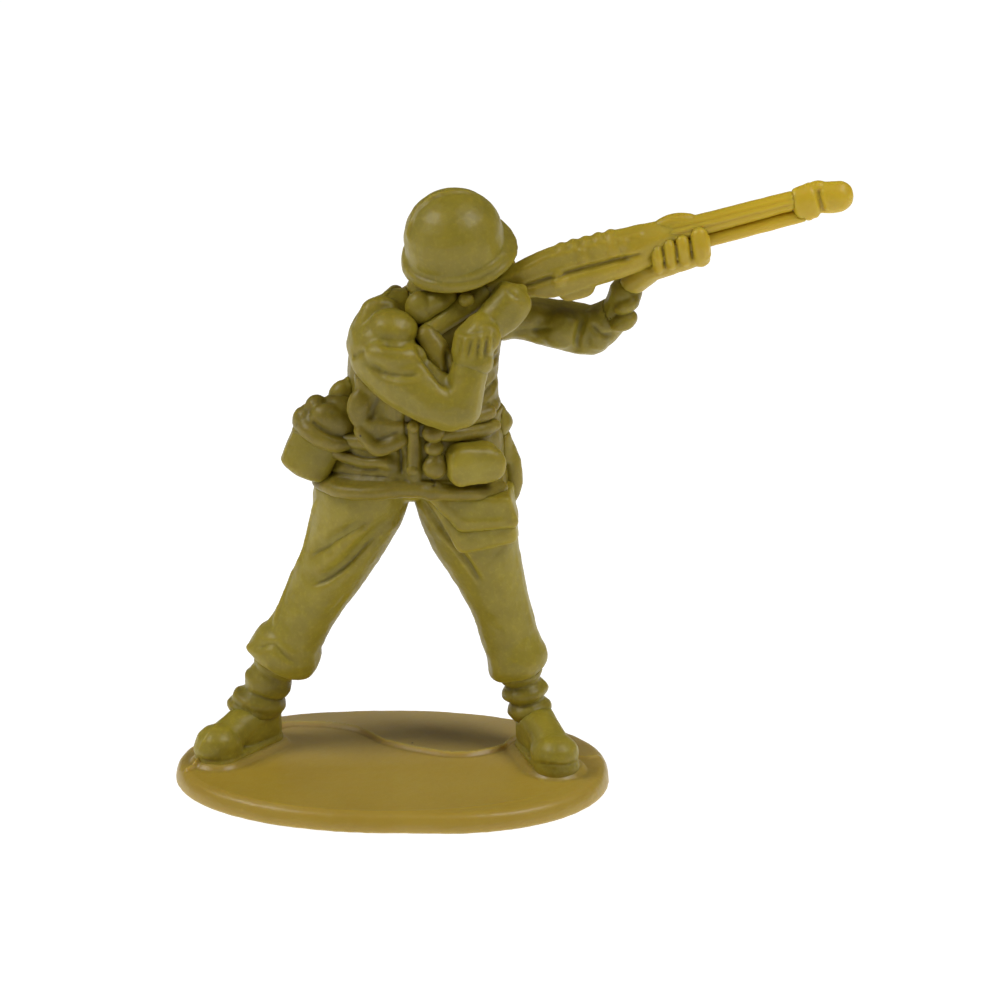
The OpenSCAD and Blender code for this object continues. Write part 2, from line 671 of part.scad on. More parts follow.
base_plate();
right_sole();
left_sole();
right_boot();
left_boot();
right_legging();
left_legging();
right_trouser_leg();
left_trouser_leg();
right_trouser_cuff();
left_trouser_cuff();
cargo_pocket();
cargo_pocket_flap();
jacket_skirt();
jacket_hem();
jacket_pocket_flap();
waist_belt();
placket();
placket_buttons();
front_pouch();
side_pouch();
side_pouch_flap();
hip_sheath();
hip_sheath_flap();
canteen();
canteen_flap();
canteen_strap();
jacket_chest();
collar();
shoulder_strap();
right_upper_sleeve();
right_forearm_sleeve();
right_cuff();
right_hand();
left_upper_sleeve();
left_forearm_sleeve();
left_cuff();
left_hand();
left_fingers();
head();
helmet_shell();
helmet_rim();
rifle_butt();
rifle_stock();
rifle_receiver();
rifle_barrel();
rifle_tube();
rear_sight();
front_band();
muzzle();
trigger_guard();
bolt_handle();
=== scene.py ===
import math
import bpy
import numpy as np
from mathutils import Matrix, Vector


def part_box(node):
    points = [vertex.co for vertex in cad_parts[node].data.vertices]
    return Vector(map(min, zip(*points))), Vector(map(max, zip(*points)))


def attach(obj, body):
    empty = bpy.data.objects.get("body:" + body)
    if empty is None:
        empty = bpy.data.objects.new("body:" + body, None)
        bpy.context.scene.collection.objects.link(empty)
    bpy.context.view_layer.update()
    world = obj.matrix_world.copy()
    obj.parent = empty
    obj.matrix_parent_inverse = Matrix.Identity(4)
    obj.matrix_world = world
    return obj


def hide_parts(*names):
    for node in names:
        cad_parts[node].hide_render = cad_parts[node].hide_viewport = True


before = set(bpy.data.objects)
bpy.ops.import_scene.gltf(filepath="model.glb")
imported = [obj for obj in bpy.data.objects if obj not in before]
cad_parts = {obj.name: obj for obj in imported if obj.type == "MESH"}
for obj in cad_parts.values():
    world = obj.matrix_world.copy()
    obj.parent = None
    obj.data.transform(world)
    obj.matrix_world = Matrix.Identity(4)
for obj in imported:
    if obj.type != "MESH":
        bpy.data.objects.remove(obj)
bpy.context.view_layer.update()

# ---- Base plate
# A thin blunt oval of the same soft polythene, moulded in one with the boots. Its rim is rounded, the
# parting line of the mould crosses the top as a thin ridge, and a soft mound runs round each boot.

boxes = {}    # each node's box, once it has been asked for, in metres


def spot(node, fx, fy, fz):
    """A point in a node's box, from (0, 0, 0) at its low corner to (1, 1, 1), in millimetres."""
    if node not in boxes:
        boxes[node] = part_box(node)
    low, high = boxes[node]
    return Vector([1000 * (low[i] + f * (high[i] - low[i])) for i, f in enumerate((fx, fy, fz))])


def trail(node, *places):
    """A line of such points."""
    return [spot(node, *place) for place in places]


def pick(*pieces):
    """Selects these pieces and nothing else."""
    for other in list(bpy.context.selected_objects):
        other.select_set(False)
    for piece in pieces:
        piece.select_set(True)
    if pieces:
        bpy.context.view_layer.objects.active = pieces[0]


def blank(name, *nodes):
    """The bare forms a piece is sculpted from, copies of the design's own solids, in millimetres."""
    forms = []
    for node in nodes:
        form = bpy.data.objects.new(name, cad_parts[node].data.copy())
        bpy.context.collection.objects.link(form)
        forms.append(form)
    pick(*forms)
    if len(forms) > 1:
        bpy.ops.object.join()
    piece = forms[0]
    piece.data.materials.clear()
    bpy.ops.object.mode_set(mode="EDIT")
    bpy.ops.mesh.select_all(action="SELECT")
    bpy.ops.transform.resize(value=(1000, 1000, 1000), center_override=(0, 0, 0))
    bpy.ops.mesh.remove_doubles(threshold=0.002)
    bpy.ops.object.mode_set(mode="OBJECT")
    return piece


def lump(at, half, turn=(0, 0, 0)):
    """A rounded lump of clay with its own half-sizes, turned by degrees."""
    pick()
    bpy.ops.mesh.primitive_uv_sphere_add(segments=28, ring_count=14, radius=1, location=at,
                                         rotation=[math.radians(a) for a in turn])
    bpy.context.object.scale = half
    return bpy.context.object


def roll(points, radii):
    """A roll of clay along a smooth line, round at both ends, with one radius or one for each point."""
    if not hasattr(radii, "__len__"):
        radii = [radii] * len(points)
    curve = bpy.data.curves.new("roll", "CURVE")
    curve.dimensions = "3D"
    spline = curve.splines.new("NURBS")
    spline.points.add(len(points) - 1)
    for knot, at, radius in zip(spline.points, points, radii):
        knot.co = (*at, 1)
        knot.radius = radius
    spline.order_u = min(3, len(points))
    spline.use_endpoint_u = True
    spline.resolution_u = 8
    curve.bevel_depth = 1
    curve.bevel_resolution = 4
    curve.use_fill_caps = True
    tube = bpy.data.objects.new("roll", curve)
    bpy.context.collection.objects.link(tube)
    pick(tube)
    bpy.ops.object.convert(target="MESH")
    tube = bpy.context.object
    ends = [lump(points[0], [radii[0]] * 3), lump(points[-1], [radii[-1]] * 3)]
    pick(tube, *ends)
    bpy.ops.object.join()
    return tube


ripple = bpy.data.textures.new("ripple", "CLOUDS")
ripple.noise_scale = 1.1
ripple.noise_depth = 1


def fuse(piece, extras=(), grain=0.15, rounds=5, plump=0.05, ripples=0.13):
    """Works the lumps into one skin, rounds it off, and swells it a little into its neighbours. The
    grain is how fine the skin is, rounds how often it is rubbed down, plump how far it swells, and
    ripples how uneven it is left."""
    pick(piece, *extras)
    if extras:
        bpy.ops.object.join()
    skin = piece.modifiers.new("skin", "REMESH")
    skin.mode = "VOXEL"
    skin.voxel_size = grain
    bpy.ops.object.modifier_apply(modifier=skin.name)
    soft = piece.modifiers.new("soft", "SMOOTH")
    soft.factor = 0.5
    soft.iterations = rounds
    bpy.ops.object.modifier_apply(modifier=soft.name)
    swell = piece.modifiers.new("swell", "DISPLACE")
    swell.mid_level = 0
    swell.strength = plump
    bpy.ops.object.modifier_apply(modifier=swell.name)
    uneven = piece.modifiers.new("uneven", "DISPLACE")
    uneven.texture = ripple
    uneven.texture_coords = "LOCAL"
    uneven.mid_level = 0.5
    uneven.strength = ripples
    bpy.ops.object.modifier_apply(modifier=uneven.name)
    return piece


def smooth_line(points, steps=8):
    """A smooth curve through all the points."""
    p = [np.array(q, float) for q in points]
    if len(p) < 3:
        return np.array([p[0] + (p[-1] - p[0]) * k / steps for k in range(steps + 1)])
    p = [2 * p[0] - p[1]] + p + [2 * p[-1] - p[-2]]
    line = []
    for i in range(1, len(p) - 2):
        for k in range(steps):
            t = k / steps
            line.append(0.5 * (2 * p[i] + (p[i + 1] - p[i - 1]) * t
                               + (2 * p[i - 1] - 5 * p[i] + 4 * p[i + 1] - p[i + 2]) * t * t
                               + (3 * p[i] - p[i - 1] - 3 * p[i + 1] + p[i + 2]) * t ** 3))
    line.append(p[-2])
    return np.array(line)


front, back, top = (0, -0.95, 0.32), (0, 1, 0), (0, 0, 1)


def press(piece, path, width, depth, side=front, lips=0.0, taper=0.25):
    """Draws a rounded tool along a line on one side of a piece, the front a little from above unless
    told, or all round if the side is None. A negative depth raises a ridge, lips are what the tool
    pushes up on both sides, and taper is the share of the line over which it sinks in and lifts out."""
    mesh = piece.data
    co = np.empty(len(mesh.vertices) * 3)
    normal = np.empty_like(co)
    mesh.vertices.foreach_get("co", co)
    mesh.vertices.foreach_get("normal", normal)
    co, normal = co.reshape(-1, 3), normal.reshape(-1, 3)
    line = smooth_line(path)
    flat = co
    facing = np.ones(len(co))
    if side is not None:
        axis = np.array(side, float) / np.linalg.norm(side)
        flat = co - np.outer(co @ axis, axis)
        line = line - np.outer(line @ axis, axis)
        # the stroke fades out where the skin turns away from that side
        facing = np.clip(normal @ axis * 1.6 + 0.15, 0, 1)
    reach = 3.2 * width + 0.01
    inside = np.all((flat > line.min(0) - reach) & (flat < line.max(0) + reach), axis=1)
    near = np.nonzero((facing > 0) & inside)[0]
    here = flat[near]
    gap = np.full(len(near), 1e9)
    along = np.zeros(len(near))
    for i in range(len(line) - 1):
        a, step = line[i], line[i + 1] - line[i]
        t = np.clip((here - a) @ step / max(step @ step, 1e-12), 0, 1)
        far = np.linalg.norm(here - a - np.outer(t, step), axis=1)
        nearer = far < gap
        gap[nearer] = far[nearer]
        along[nearer] = (i + t[nearer]) / (len(line) - 1)
    fade = np.clip(np.minimum(along, 1 - along) / taper, 0, 1) if taper else np.ones(len(near))
    fade = fade * fade * (3 - 2 * fade)
    # a round groove, with its lips just outside it
    shape = np.exp(-(gap / width) ** 2) - lips * np.exp(-((gap - 1.7 * width) / (0.8 * width)) ** 2)
    co[near] -= normal[near] * (depth * shape * fade * facing[near])[:, None]
    mesh.vertices.foreach_set("co", co.ravel())
    mesh.update()


def settle(piece, plastic):
    """Back to metres, with its place in its mesh."""
    pick(piece)
    piece.scale = (0.001, 0.001, 0.001)
    bpy.ops.object.transform_apply(location=False, rotation=False, scale=True)
    bpy.ops.object.shade_smooth()
    piece.data.materials.clear()
    piece.data.materials.append(plastic)


def tone(red, green, blue):
    """A screen colour, 0 to 255, as linear light."""
    return [((v / 255 + 0.055) / 1.055) ** 2.4 if v > 10 else v / 3294.6
            for v in (red, green, blue)] + [1]


def polythene(name, lit, body, deep, cloud=350, speck_seed=0.0, painted_light_ramp=None, flecks=0.25, polish=0.0):
    """Soft polythene: a waxy skin with slow clouds of tone and milky flecks, painted shade in the deep
    colour in the hollows and painted light on sharp edges, a faint orange-peel grain, and a few dark
    specks of scorched pellet. A ramp of painted light can also be laid along one axis, given as its
    tint, the axis, and where along it, in metres, the tint starts and is full."""
    plastic = bpy.data.materials.new(name)
    plastic.use_nodes = True
    nodes, links = plastic.node_tree.nodes, plastic.node_tree.links
    place = nodes.new("ShaderNodeTexCoord").outputs["Object"]

    def noise(scale, detail):
        texture = nodes.new("ShaderNodeTexNoise")
        texture.inputs["Scale"].default_value = scale
        texture.inputs["Detail"].default_value = detail
        links.new(place, texture.inputs["Vector"])
        return texture.outputs["Fac"]

    def spread(value, start=0.0, end=1.0, low=0.0, high=1.0):
        """Goes from low to high while the value goes from start to end."""
        reach = nodes.new("ShaderNodeMapRange")
        ends = {"From Min": start, "From Max": end, "To Min": low, "To Max": high}
        for socket, number in ends.items():
            reach.inputs[socket].default_value = number
        links.new(value, reach.inputs["Value"])
        return reach.outputs["Result"]

    def over(share, under, tint):
        """Lays a share of a tint over the colour under it."""
        mix = nodes.new("ShaderNodeMix")
        mix.data_type = "RGBA"
        links.new(share, mix.inputs["Factor"])
        links.new(under, mix.inputs["A"])
        mix.inputs["B"].default_value = tint
        return mix.outputs["Result"]

    def paler(gain, lift=0.0):
        return [min(1, v * gain + lift) for v in lit[:3]] + [1]

    shader = nodes["Principled BSDF"]
    for socket, number in [("IOR", 1.45), ("Coat Weight", 0.1), ("Coat Roughness", 0.22),
                           ("Subsurface Weight", 0.6), ("Subsurface Radius", (1.0, 0.75, 0.22)),
                           ("Subsurface Scale", 0.0016)]:
        shader.inputs[socket].default_value = number

    ramp = nodes.new("ShaderNodeValToRGB")
    dull, bright = ramp.color_ramp.elements
    dull.position, dull.color = 0.32, body
    bright.position, bright.color = 0.68, lit
    links.new(noise(cloud, 4), ramp.inputs["Fac"])
    milky = spread(noise(3000, 3), 0.52, 0.72, high=flecks)
    colour = over(milky, ramp.outputs["Color"], paler(1.5, 0.01))
    # A ramp of painted light along one axis: the plain colour before its start, its tint beyond its
    # end.
    if painted_light_ramp:
        tint, axis, start, end = painted_light_ramp
        where = nodes.new("ShaderNodeSeparateXYZ")
        links.new(place, where.inputs["Vector"])
        colour = over(spread(where.outputs[axis], start, end), colour, tint)

    # Painted shade: the deep colour laid into hollows and creases. Painted light: a paler colour laid
    # on sharp edges.
    form = nodes.new("ShaderNodeNewGeometry").outputs["Pointiness"]
    crease_shade = spread(form, 0.49, 0.39)
    edge_light = spread(form, 0.55, 0.68, high=0.35)
    colour = over(edge_light, over(crease_shade, colour, deep), paler(1.25))

    shift = nodes.new("ShaderNodeMapping")
    shift.inputs["Location"].default_value = (speck_seed, speck_seed * 0.7, speck_seed * 1.3)
    links.new(place, shift.inputs["Vector"])
    cells = nodes.new("ShaderNodeTexVoronoi")
    cells.inputs["Scale"].default_value = 230
    links.new(shift.outputs["Vector"], cells.inputs["Vector"])
    speck = spread(cells.outputs["Distance"], 0.035, 0.022)
    links.new(over(speck, colour, tone(60, 50, 22)), shader.inputs["Base Color"])

    skin = noise(2600, 5)
    links.new(spread(skin, low=0.44 - polish, high=0.60 - polish), shader.inputs["Roughness"])
    grain = nodes.new("ShaderNodeBump")
    grain.inputs["Strength"].default_value = 0.35
    grain.inputs["Distance"].default_value = 0.00008
    links.new(skin, grain.inputs["Height"])
    links.new(grain.outputs["Normal"], shader.inputs["Normal"])
    return plastic


def mound(sole, toe, heel, toe_gap, heel_gap):
    """The soft bank of plastic round a boot, where the mould was rounded off."""
    toe, heel = spot(sole, *toe), spot(sole, *heel)
    along = math.atan2(toe.y - heel.y, toe.x - heel.x)
    ring = [toe + Vector((math.cos(a), math.sin(a), 0)) * toe_gap
            for a in [along + math.radians(d) for d in (-100, -60, -20, 20, 60, 100)]]
    ring += [heel + Vector((math.cos(a), math.sin(a), 0)) * heel_gap
             for a in [along + math.radians(d) for d in (110, 150, 210, 250)]]
    ring.append(ring[0])
    return roll(ring, 0.68)


# Painted reflection: the plate runs paler and bluer towards the back, for the bright backdrop reflected
# there.
mustard = polythene(
    "plate_polythene", lit=tone(174, 147, 56), body=tone(166, 138, 45), deep=tone(126, 104, 26),
    cloud=90, speck_seed=0.5, painted_light_ramp=(tone(196, 172, 112), "Y", -0.002, 0.010), flecks=0.05, polish=0.1)
plate = blank("plate", "base_plate")
fuse(plate, [mound("right_sole", (0.27, 0.25, -0.08), (0.79, 0.81, -0.08), 1.85, 1.6),
             mound("left_sole", (0.64, 0.29, -0.08), (0.28, 0.82, -0.08), 2.05, 1.6)],
     grain=0.15, rounds=14, plump=0.03, ripples=0.05)
# The parting line: its left end, the long wave over the top, and its right end.
parting = trail("base_plate", (0.02, 0.40, 1), (0.05, 0.43, 1), (0.09, 0.52, 1))
press(plate, parting, width=0.2, depth=-0.32, side=top)
parting = trail(
    "base_plate", (0.215, 0.78, 1), (0.25, 0.815, 1), (0.28, 0.82, 1), (0.35, 0.81, 1), (0.42, 0.76, 1),
    (0.49, 0.64, 1), (0.59, 0.555, 1), (0.66, 0.53, 1), (0.72, 0.56, 1), (0.78, 0.62, 1),
    (0.84, 0.60, 1))
press(plate, parting, width=0.17, depth=-0.5, side=top, taper=0.03)
press(
    plate, trail("base_plate", (0.90, 0.53, 1), (0.95, 0.515, 1), (0.985, 0.54, 1)), width=0.24,
    depth=-0.25, side=top)
# A faint raised lip along the front of the rim.
lip = [spot("base_plate", 0.5 + 0.475 * math.cos(a), 0.5 + 0.46 * math.sin(a), 1)
       for a in [math.radians(d) for d in range(190, 352, 9)]]
press(plate, lip, width=0.16, depth=-0.06, side=top)
settle(plate, mustard)
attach(plate, "root")
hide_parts("base_plate")

# ---- Boots
# Ankle boots with a smooth toe cap and a plain sole, in the olive painted lighter for the light they
# catch. They are moulded in one with the plate, so the soft mounds run up against their sides.

# Painted light: a lighter copy of the olive, for the parts that catch more light: the boots, trousers,
# thigh pocket and front pouch.
painted_lit_olive = polythene(
    "painted_lit_olive_polythene", lit=tone(154, 138, 34), body=tone(141, 126, 26), deep=tone(84, 70, 8),
    cloud=620, speck_seed=0.3)
right_foot = blank("right_boot_upper", "right_boot", "right_sole")
fuse(right_foot, [lump(spot("right_boot", 0.27, 0.27, 0.14), (2.3, 1.9, 1.3), turn=(0, 0, 50))],
     grain=0.14, rounds=12, plump=0.06, ripples=0.08)
# The parting line over the toe cap, and the seam above the sole.
press(
    right_foot,
    trail(
        "right_boot", (0.02, 0.35, 0.0), (0.06, 0.16, 0.2), (0.16, 0.16, 0.62), (0.34, 0.4, 0.85),
        (0.44, 0.5, 1.0)),
    width=0.13, depth=-0.1)
press(
    right_foot,
    trail(
        "right_sole", (0.02, 0.4, 0.85), (0.1, 0.1, 0.85), (0.27, 0.0, 0.9), (0.45, 0.06, 0.95),
        (0.6, 0.25, 1.0), (0.8, 0.5, 1.0)),
    width=0.16, depth=0.12)
settle(right_foot, painted_lit_olive)
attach(right_foot, "root")
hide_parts("right_boot", "right_sole")

left_foot = blank("left_boot_upper", "left_boot", "left_sole")
fuse(left_foot, [lump(spot("left_boot", 0.60, 0.27, 0.2), (2.4, 1.9, 1.35), turn=(0, 0, -70))],
     grain=0.14, rounds=12, plump=0.06, ripples=0.08)
# The seam above the sole.
press(
    left_foot,
    trail(
        "left_boot", (0.28, 0.25, 0.02), (0.4, 0.08, 0.12), (0.6, 0.0, 0.16), (0.85, 0.05, 0.12),
        (0.97, 0.3, 0.05)),
    width=0.15, depth=0.12)
settle(left_foot, painted_lit_olive)
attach(left_foot, "root")
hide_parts("left_boot", "left_sole")

# ---- Leggings
# The canvas leggings above the boots, creased into soft rings where the ankle bends. They are moulded
# in one with the boots below and the trousers above.


def hoop(at, wide, deep, lean):
    """Points round a limb, square to its own line."""
    c, s = math.cos(math.radians(lean)), math.sin(math.radians(lean))
    return [Vector((wide * math.cos(a) * c, deep * math.sin(a), -wide * math.cos(a) * s)) + at
            for a in [math.radians(d) for d in range(0, 361, 24)]]


olive = polythene(
    "olive_polythene", lit=tone(143, 127, 26), body=tone(131, 117, 20), deep=tone(74, 61, 5), cloud=620)
right_wrap = blank("right_ankle_wrap", "right_legging")
right_rings = [((-11.9, 3.3, 5.3), 2.05, 1.95, 10, 0.42), ((-11.45, 3.15, 6.0), 1.95, 1.8, 14, 0.5),
               ((-10.7, 3.05, 7.75), 1.75, 1.65, 22, 0.4)]
rings = [roll(hoop(Vector(at), wide - 0.1, deep - 0.1, lean), thick)
         for at, wide, deep, lean, thick in right_rings]
fuse(right_wrap, rings, grain=0.14, rounds=11, plump=0.08)
press(
    right_wrap, hoop(Vector((-11.0, 3.1, 6.85)), 2.0, 1.9, 18), width=0.2, depth=0.2, side=None,
    taper=0)
press(
    right_wrap, hoop(Vector((-10.2, 3.0, 8.75)), 1.9, 1.9, 25), width=0.24, depth=0.12, side=None,
    taper=0)
settle(right_wrap, olive)
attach(right_wrap, "root")
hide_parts("right_legging")

left_wrap = blank("left_ankle_wrap", "left_legging")
left_rings = [((11.75, 2.3, 5.6), 1.5, 1.65, -8, 0.42), ((11.35, 2.35, 7.15), 1.5, 1.6, -12, 0.5),
              ((11.0, 2.4, 8.7), 1.45, 1.55, -16, 0.4)]
rings = [roll(hoop(Vector(at), wide, deep, lean), thick) for at, wide, deep, lean, thick in left_rings]
fuse(left_wrap, rings, grain=0.14, rounds=11, plump=0.08)
press(
    left_wrap, hoop(Vector((11.5, 2.3, 6.4)), 1.75, 1.85, -10), width=0.22, depth=0.2, side=None,
    taper=0)
press(
    left_wrap, hoop(Vector((11.15, 2.4, 8.0)), 1.7, 1.8, -14), width=0.22, depth=0.15, side=None,
    taper=0)
settle(left_wrap, olive)
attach(left_wrap, "root")
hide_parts("left_legging")

# ---- Trousers
# Loose cloth trousers, bloused over the leggings and moulded in one with them. Long soft folds run
# from the crotch across each thigh, and the parting line of the mould runs down the right leg.


def nudge(piece, at, reach, by):
    """Leans on the soft clay at a point, so that what is near it moves along."""
    mesh = piece.data
    co = np.empty(len(mesh.vertices) * 3)
    mesh.vertices.foreach_get("co", co)
    co = co.reshape(-1, 3)
    hold = np.exp(-(((co - np.array(at)) / np.array(reach, float)) ** 2).sum(1))
    co += hold[:, None] * np.array(by, float)
    mesh.vertices.foreach_set("co", co.ravel())
    mesh.update()


right_leg = blank("right_trousers", "right_trouser_leg", "right_trouser_cuff")
fuse(right_leg, [roll([(-8.0, 2.5, 15.2), (-9.2, 2.5, 13.9), (-10.4, 2.6, 12.1)], [0.7, 0.85, 0.9]),
                 lump((1.75, 1.7, 25.6), (1.3, 2.2, 0.9))],
     grain=0.16, rounds=20, plump=0.1)
# Two long folds from the crotch, each a wide dip with a narrow crease in it, and a swell between.
press(
    right_leg,
    trail(
        "right_trouser_leg", (0.28, 0.25, 0.60), (0.36, 0.19, 0.66), (0.49, 0.09, 0.735),
        (0.63, 0.02, 0.82), (0.78, 0.05, 0.90)),
    width=0.62, depth=0.40, lips=0.12, taper=0.4)
press(
    right_leg,
    trail(
        "right_trouser_leg", (0.30, 0.25, 0.60), (0.36, 0.19, 0.64), (0.49, 0.09, 0.715),
        (0.63, 0.02, 0.80), (0.76, 0.05, 0.88)),
    width=0.18, depth=0.2, taper=0.35)
press(
    right_leg,
    trail(
        "right_trouser_leg", (0.24, 0.24, 0.44), (0.34, 0.19, 0.47), (0.45, 0.12, 0.52),
        (0.58, 0.10, 0.61), (0.71, 0.10, 0.73), (0.86, 0.16, 0.84), (0.97, 0.43, 0.90)),
    width=0.60, depth=0.48, lips=0.12, taper=0.35)
press(
    right_leg,
    trail(
        "right_trouser_leg", (0.28, 0.24, 0.43), (0.35, 0.19, 0.45), (0.45, 0.12, 0.50),
        (0.58, 0.10, 0.59), (0.71, 0.10, 0.71), (0.86, 0.16, 0.82)),
    width=0.18, depth=0.22, taper=0.35)
press(
    right_leg, trail("right_trouser_leg", (0.44, 0.1, 0.66), (0.58, 0.08, 0.75), (0.70, 0.05, 0.83)),
    width=0.5, depth=-0.22)
# The parting line down the outside.
press(
    right_leg,
    trail(
        "right_trouser_leg", (0.38, 0.27, 0.96), (0.32, 0.45, 0.78), (0.25, 0.44, 0.56),
        (0.16, 0.5, 0.42), (0.08, 0.4, 0.25), (0.04, 0.35, 0.16)),
    width=0.18, depth=-0.2, side=(-0.35, -0.9, 0.3), taper=0.1)
# A short crease inside the knee, and the blousing with its corner drawn out.
press(
    right_leg, trail("right_trouser_leg", (0.43, 0.23, 0.25), (0.51, 0.26, 0.31), (0.58, 0.26, 0.39)),
    width=0.28, depth=0.16)
press(
    right_leg,
    trail(
        "right_trouser_cuff", (0.02, 0.50, 0.40), (0.10, 0.3, 0.60), (0.17, 0.18, 0.71),
        (0.28, 0.1, 0.78), (0.38, 0.08, 0.76), (0.51, 0.02, 0.60), (0.66, 0.04, 0.46),
        (0.84, 0.15, 0.41)),
    width=0.3, depth=0.24, taper=0.3)
nudge(right_leg, spot("right_trouser_cuff", 0.0, 0.4, 0.5), reach=(0.7, 1.2, 0.6), by=(-0.35, 0, 0.25))
# Folds at the back.
press(
    right_leg, trail("right_trouser_leg", (0.6, 1, 0.86), (0.42, 1, 0.74), (0.3, 1, 0.6)), width=0.45,
    depth=0.35, side=back, lips=0.2, taper=0.4)
press(
    right_leg, trail("right_trouser_leg", (0.52, 1, 0.42), (0.36, 1, 0.36), (0.22, 1, 0.38)),
    width=0.45, depth=0.3, side=back, lips=0.2, taper=0.4)
settle(right_leg, painted_lit_olive)
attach(right_leg, "root")
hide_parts("right_trouser_leg", "right_trouser_cuff")

left_leg = blank("left_trousers", "left_trouser_leg", "left_trouser_cuff")
fuse(
    left_leg,
    [
        roll(
            trail("left_trouser_leg", (0.70, 0.40, 0.36), (0.78, 0.40, 0.12), (0.83, 0.42, -0.02)),
            [1.5, 1.7, 1.7])],
    grain=0.16, rounds=26, plump=0.1)
# The long fold beside the pocket, the outer seam, and a shallow dip over the shin.
press(
    left_leg,
    trail(
        "left_trouser_leg", (0.05, 0.2, 0.97), (0.11, 0.16, 0.91), (0.25, 0.09, 0.77),
        (0.38, 0.08, 0.66), (0.48, 0.10, 0.55), (0.54, 0.14, 0.46)),
    width=0.24, depth=0.32, lips=0.3)
press(
    left_leg,
    trail(
        "left_trouser_leg", (0.80, 0.36, 0.63), (0.85, 0.38, 0.46), (0.90, 0.38, 0.29),
        (0.97, 0.4, 0.1)),
    width=0.18, depth=-0.1, taper=0.2)
press(
    left_leg, trail("left_trouser_leg", (0.54, 0.18, 0.28), (0.64, 0.16, 0.22), (0.72, 0.19, 0.20)),
    width=0.55, depth=0.1)
nudge(left_leg, spot("left_trouser_cuff", 0.0, 0.4, 0.4), reach=(0.9, 1.5, 1.2), by=(0.3, 0, 0))
# Folds at the back.
press(
    left_leg, trail("left_trouser_leg", (0.35, 1, 0.86), (0.55, 1, 0.74), (0.7, 1, 0.62)), width=0.45,
    depth=0.35, side=back, lips=0.2, taper=0.4)
press(
    left_leg, trail("left_trouser_leg", (0.5, 1, 0.42), (0.66, 1, 0.36), (0.82, 1, 0.38)), width=0.45,
    depth=0.3, side=back, lips=0.2, taper=0.4)
settle(left_leg, painted_lit_olive)
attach(left_leg, "root")
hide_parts("left_trouser_leg", "left_trouser_cuff")

# ---- Thigh pocket
# A patch pocket on the front of the left thigh, with a wide pointed lid over it. Both stand up from
# the trouser leg as low soft steps of the same moulding.

pocket = blank("thigh_pocket", "cargo_pocket")
fuse(pocket, grain=0.13, rounds=22, plump=0.16)
nudge(pocket, spot("cargo_pocket", 0.95, 0, 0.1), reach=(2.6, 1.6, 1.2), by=(-0.15, 0, 0.5))
settle(pocket, painted_lit_olive)
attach(pocket, "root")
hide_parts("cargo_pocket")

lid = blank("thigh_pocket_lid", "cargo_pocket_flap")
fuse(lid, grain=0.13, rounds=22, plump=0.14)
# The raised edge of the lid.
press(
    lid,
    trail(
        "cargo_pocket_flap", (0.12, 0, 0.92), (0.24, 0, 0.62), (0.34, 0, 0.38), (0.42, 0, 0.30),
        (0.55, 0, 0.29), (0.72, 0.02, 0.3), (0.92, 0.02, 0.36)),
    width=0.26, depth=-0.09, taper=0.1)
settle(lid, painted_lit_olive)
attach(lid, "root")
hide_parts("cargo_pocket_flap")

# ---- Jacket skirt
# The cloth of the field jacket below the belt, with its thick soft hem, the button strip down the
# front and a hip pocket's lid. The cloth is pulled into flat folds towards the buttons.

# Painted shade: a darker copy of the olive for the parts in the shade of the arms and belt: the jacket
# skirt, buttons, belt, elbow bag, canteen cover and chest.
painted_shade_olive = polythene(
    "painted_shade_olive_polythene", lit=tone(131, 115, 22), body=tone(118, 103, 16), deep=tone(64, 52, 4),
    cloud=620, speck_seed=0.7)
skirt = blank("jacket_skirt_cloth", "jacket_skirt", "jacket_hem")
cloth_rolls = [
    roll(
        trail(
            "jacket_hem", (0.02, 0.36, 0.45), (0.10, 0.17, 0.42), (0.25, 0.05, 0.42),
            (0.42, 0.02, 0.35), (0.56, 0.02, 0.3)),
        [0.5, 0.6, 0.6, 0.6, 0.5]),
    roll(
        trail(
            "jacket_hem", (0.60, 0.03, 0.15), (0.74, 0.05, 0.22), (0.88, 0.12, 0.32), (0.97, 0.3, 0.4)),
        0.5),
    roll(
        trail("jacket_skirt", (0.10, 0.25, 0.60), (0.22, 0.16, 0.50), (0.38, 0.08, 0.52)),
        [0.6, 0.75, 0.7]),
    roll(
        trail("jacket_skirt", (0.14, 0.22, 0.78), (0.26, 0.14, 0.76), (0.40, 0.1, 0.78)),
        [0.5, 0.6, 0.5]),
    roll(
        trail("placket", (0.5, 0.45, 0.96), (0.5, 0.45, 0.5), (0.5, 0.45, 0.0), (0.55, 0.5, -0.5)),
        [0.4, 0.45, 0.5, 0.45]),
    roll(
        trail("jacket_skirt", (0.68, 0.04, 0.94), (0.84, 0.12, 0.92), (0.95, 0.3, 0.93)),
        [0.5, 0.6, 0.5])]
fuse(skirt, cloth_rolls, grain=0.15, rounds=14, plump=0.1)
# The step above the hem, and flat folds running towards the buttons.
press(
    skirt,
    trail(
        "jacket_skirt", (0.0, 0.45, 0.28), (0.06, 0.27, 0.29), (0.13, 0.2, 0.30), (0.28, 0.09, 0.31),
        (0.42, 0.03, 0.30)),
    width=0.16, depth=0.16, taper=0.12)
press(
    skirt,
    trail(
        "jacket_skirt", (0.05, 0.3, 0.72), (0.12, 0.22, 0.67), (0.22, 0.14, 0.60), (0.3, 0.1, 0.60),
        (0.38, 0.07, 0.67)),
    width=0.2, depth=0.3)
press(
    skirt, trail("jacket_skirt", (0.10, 0.3, 0.44), (0.24, 0.1, 0.40), (0.38, 0.07, 0.44)), width=0.18,
    depth=0.16)
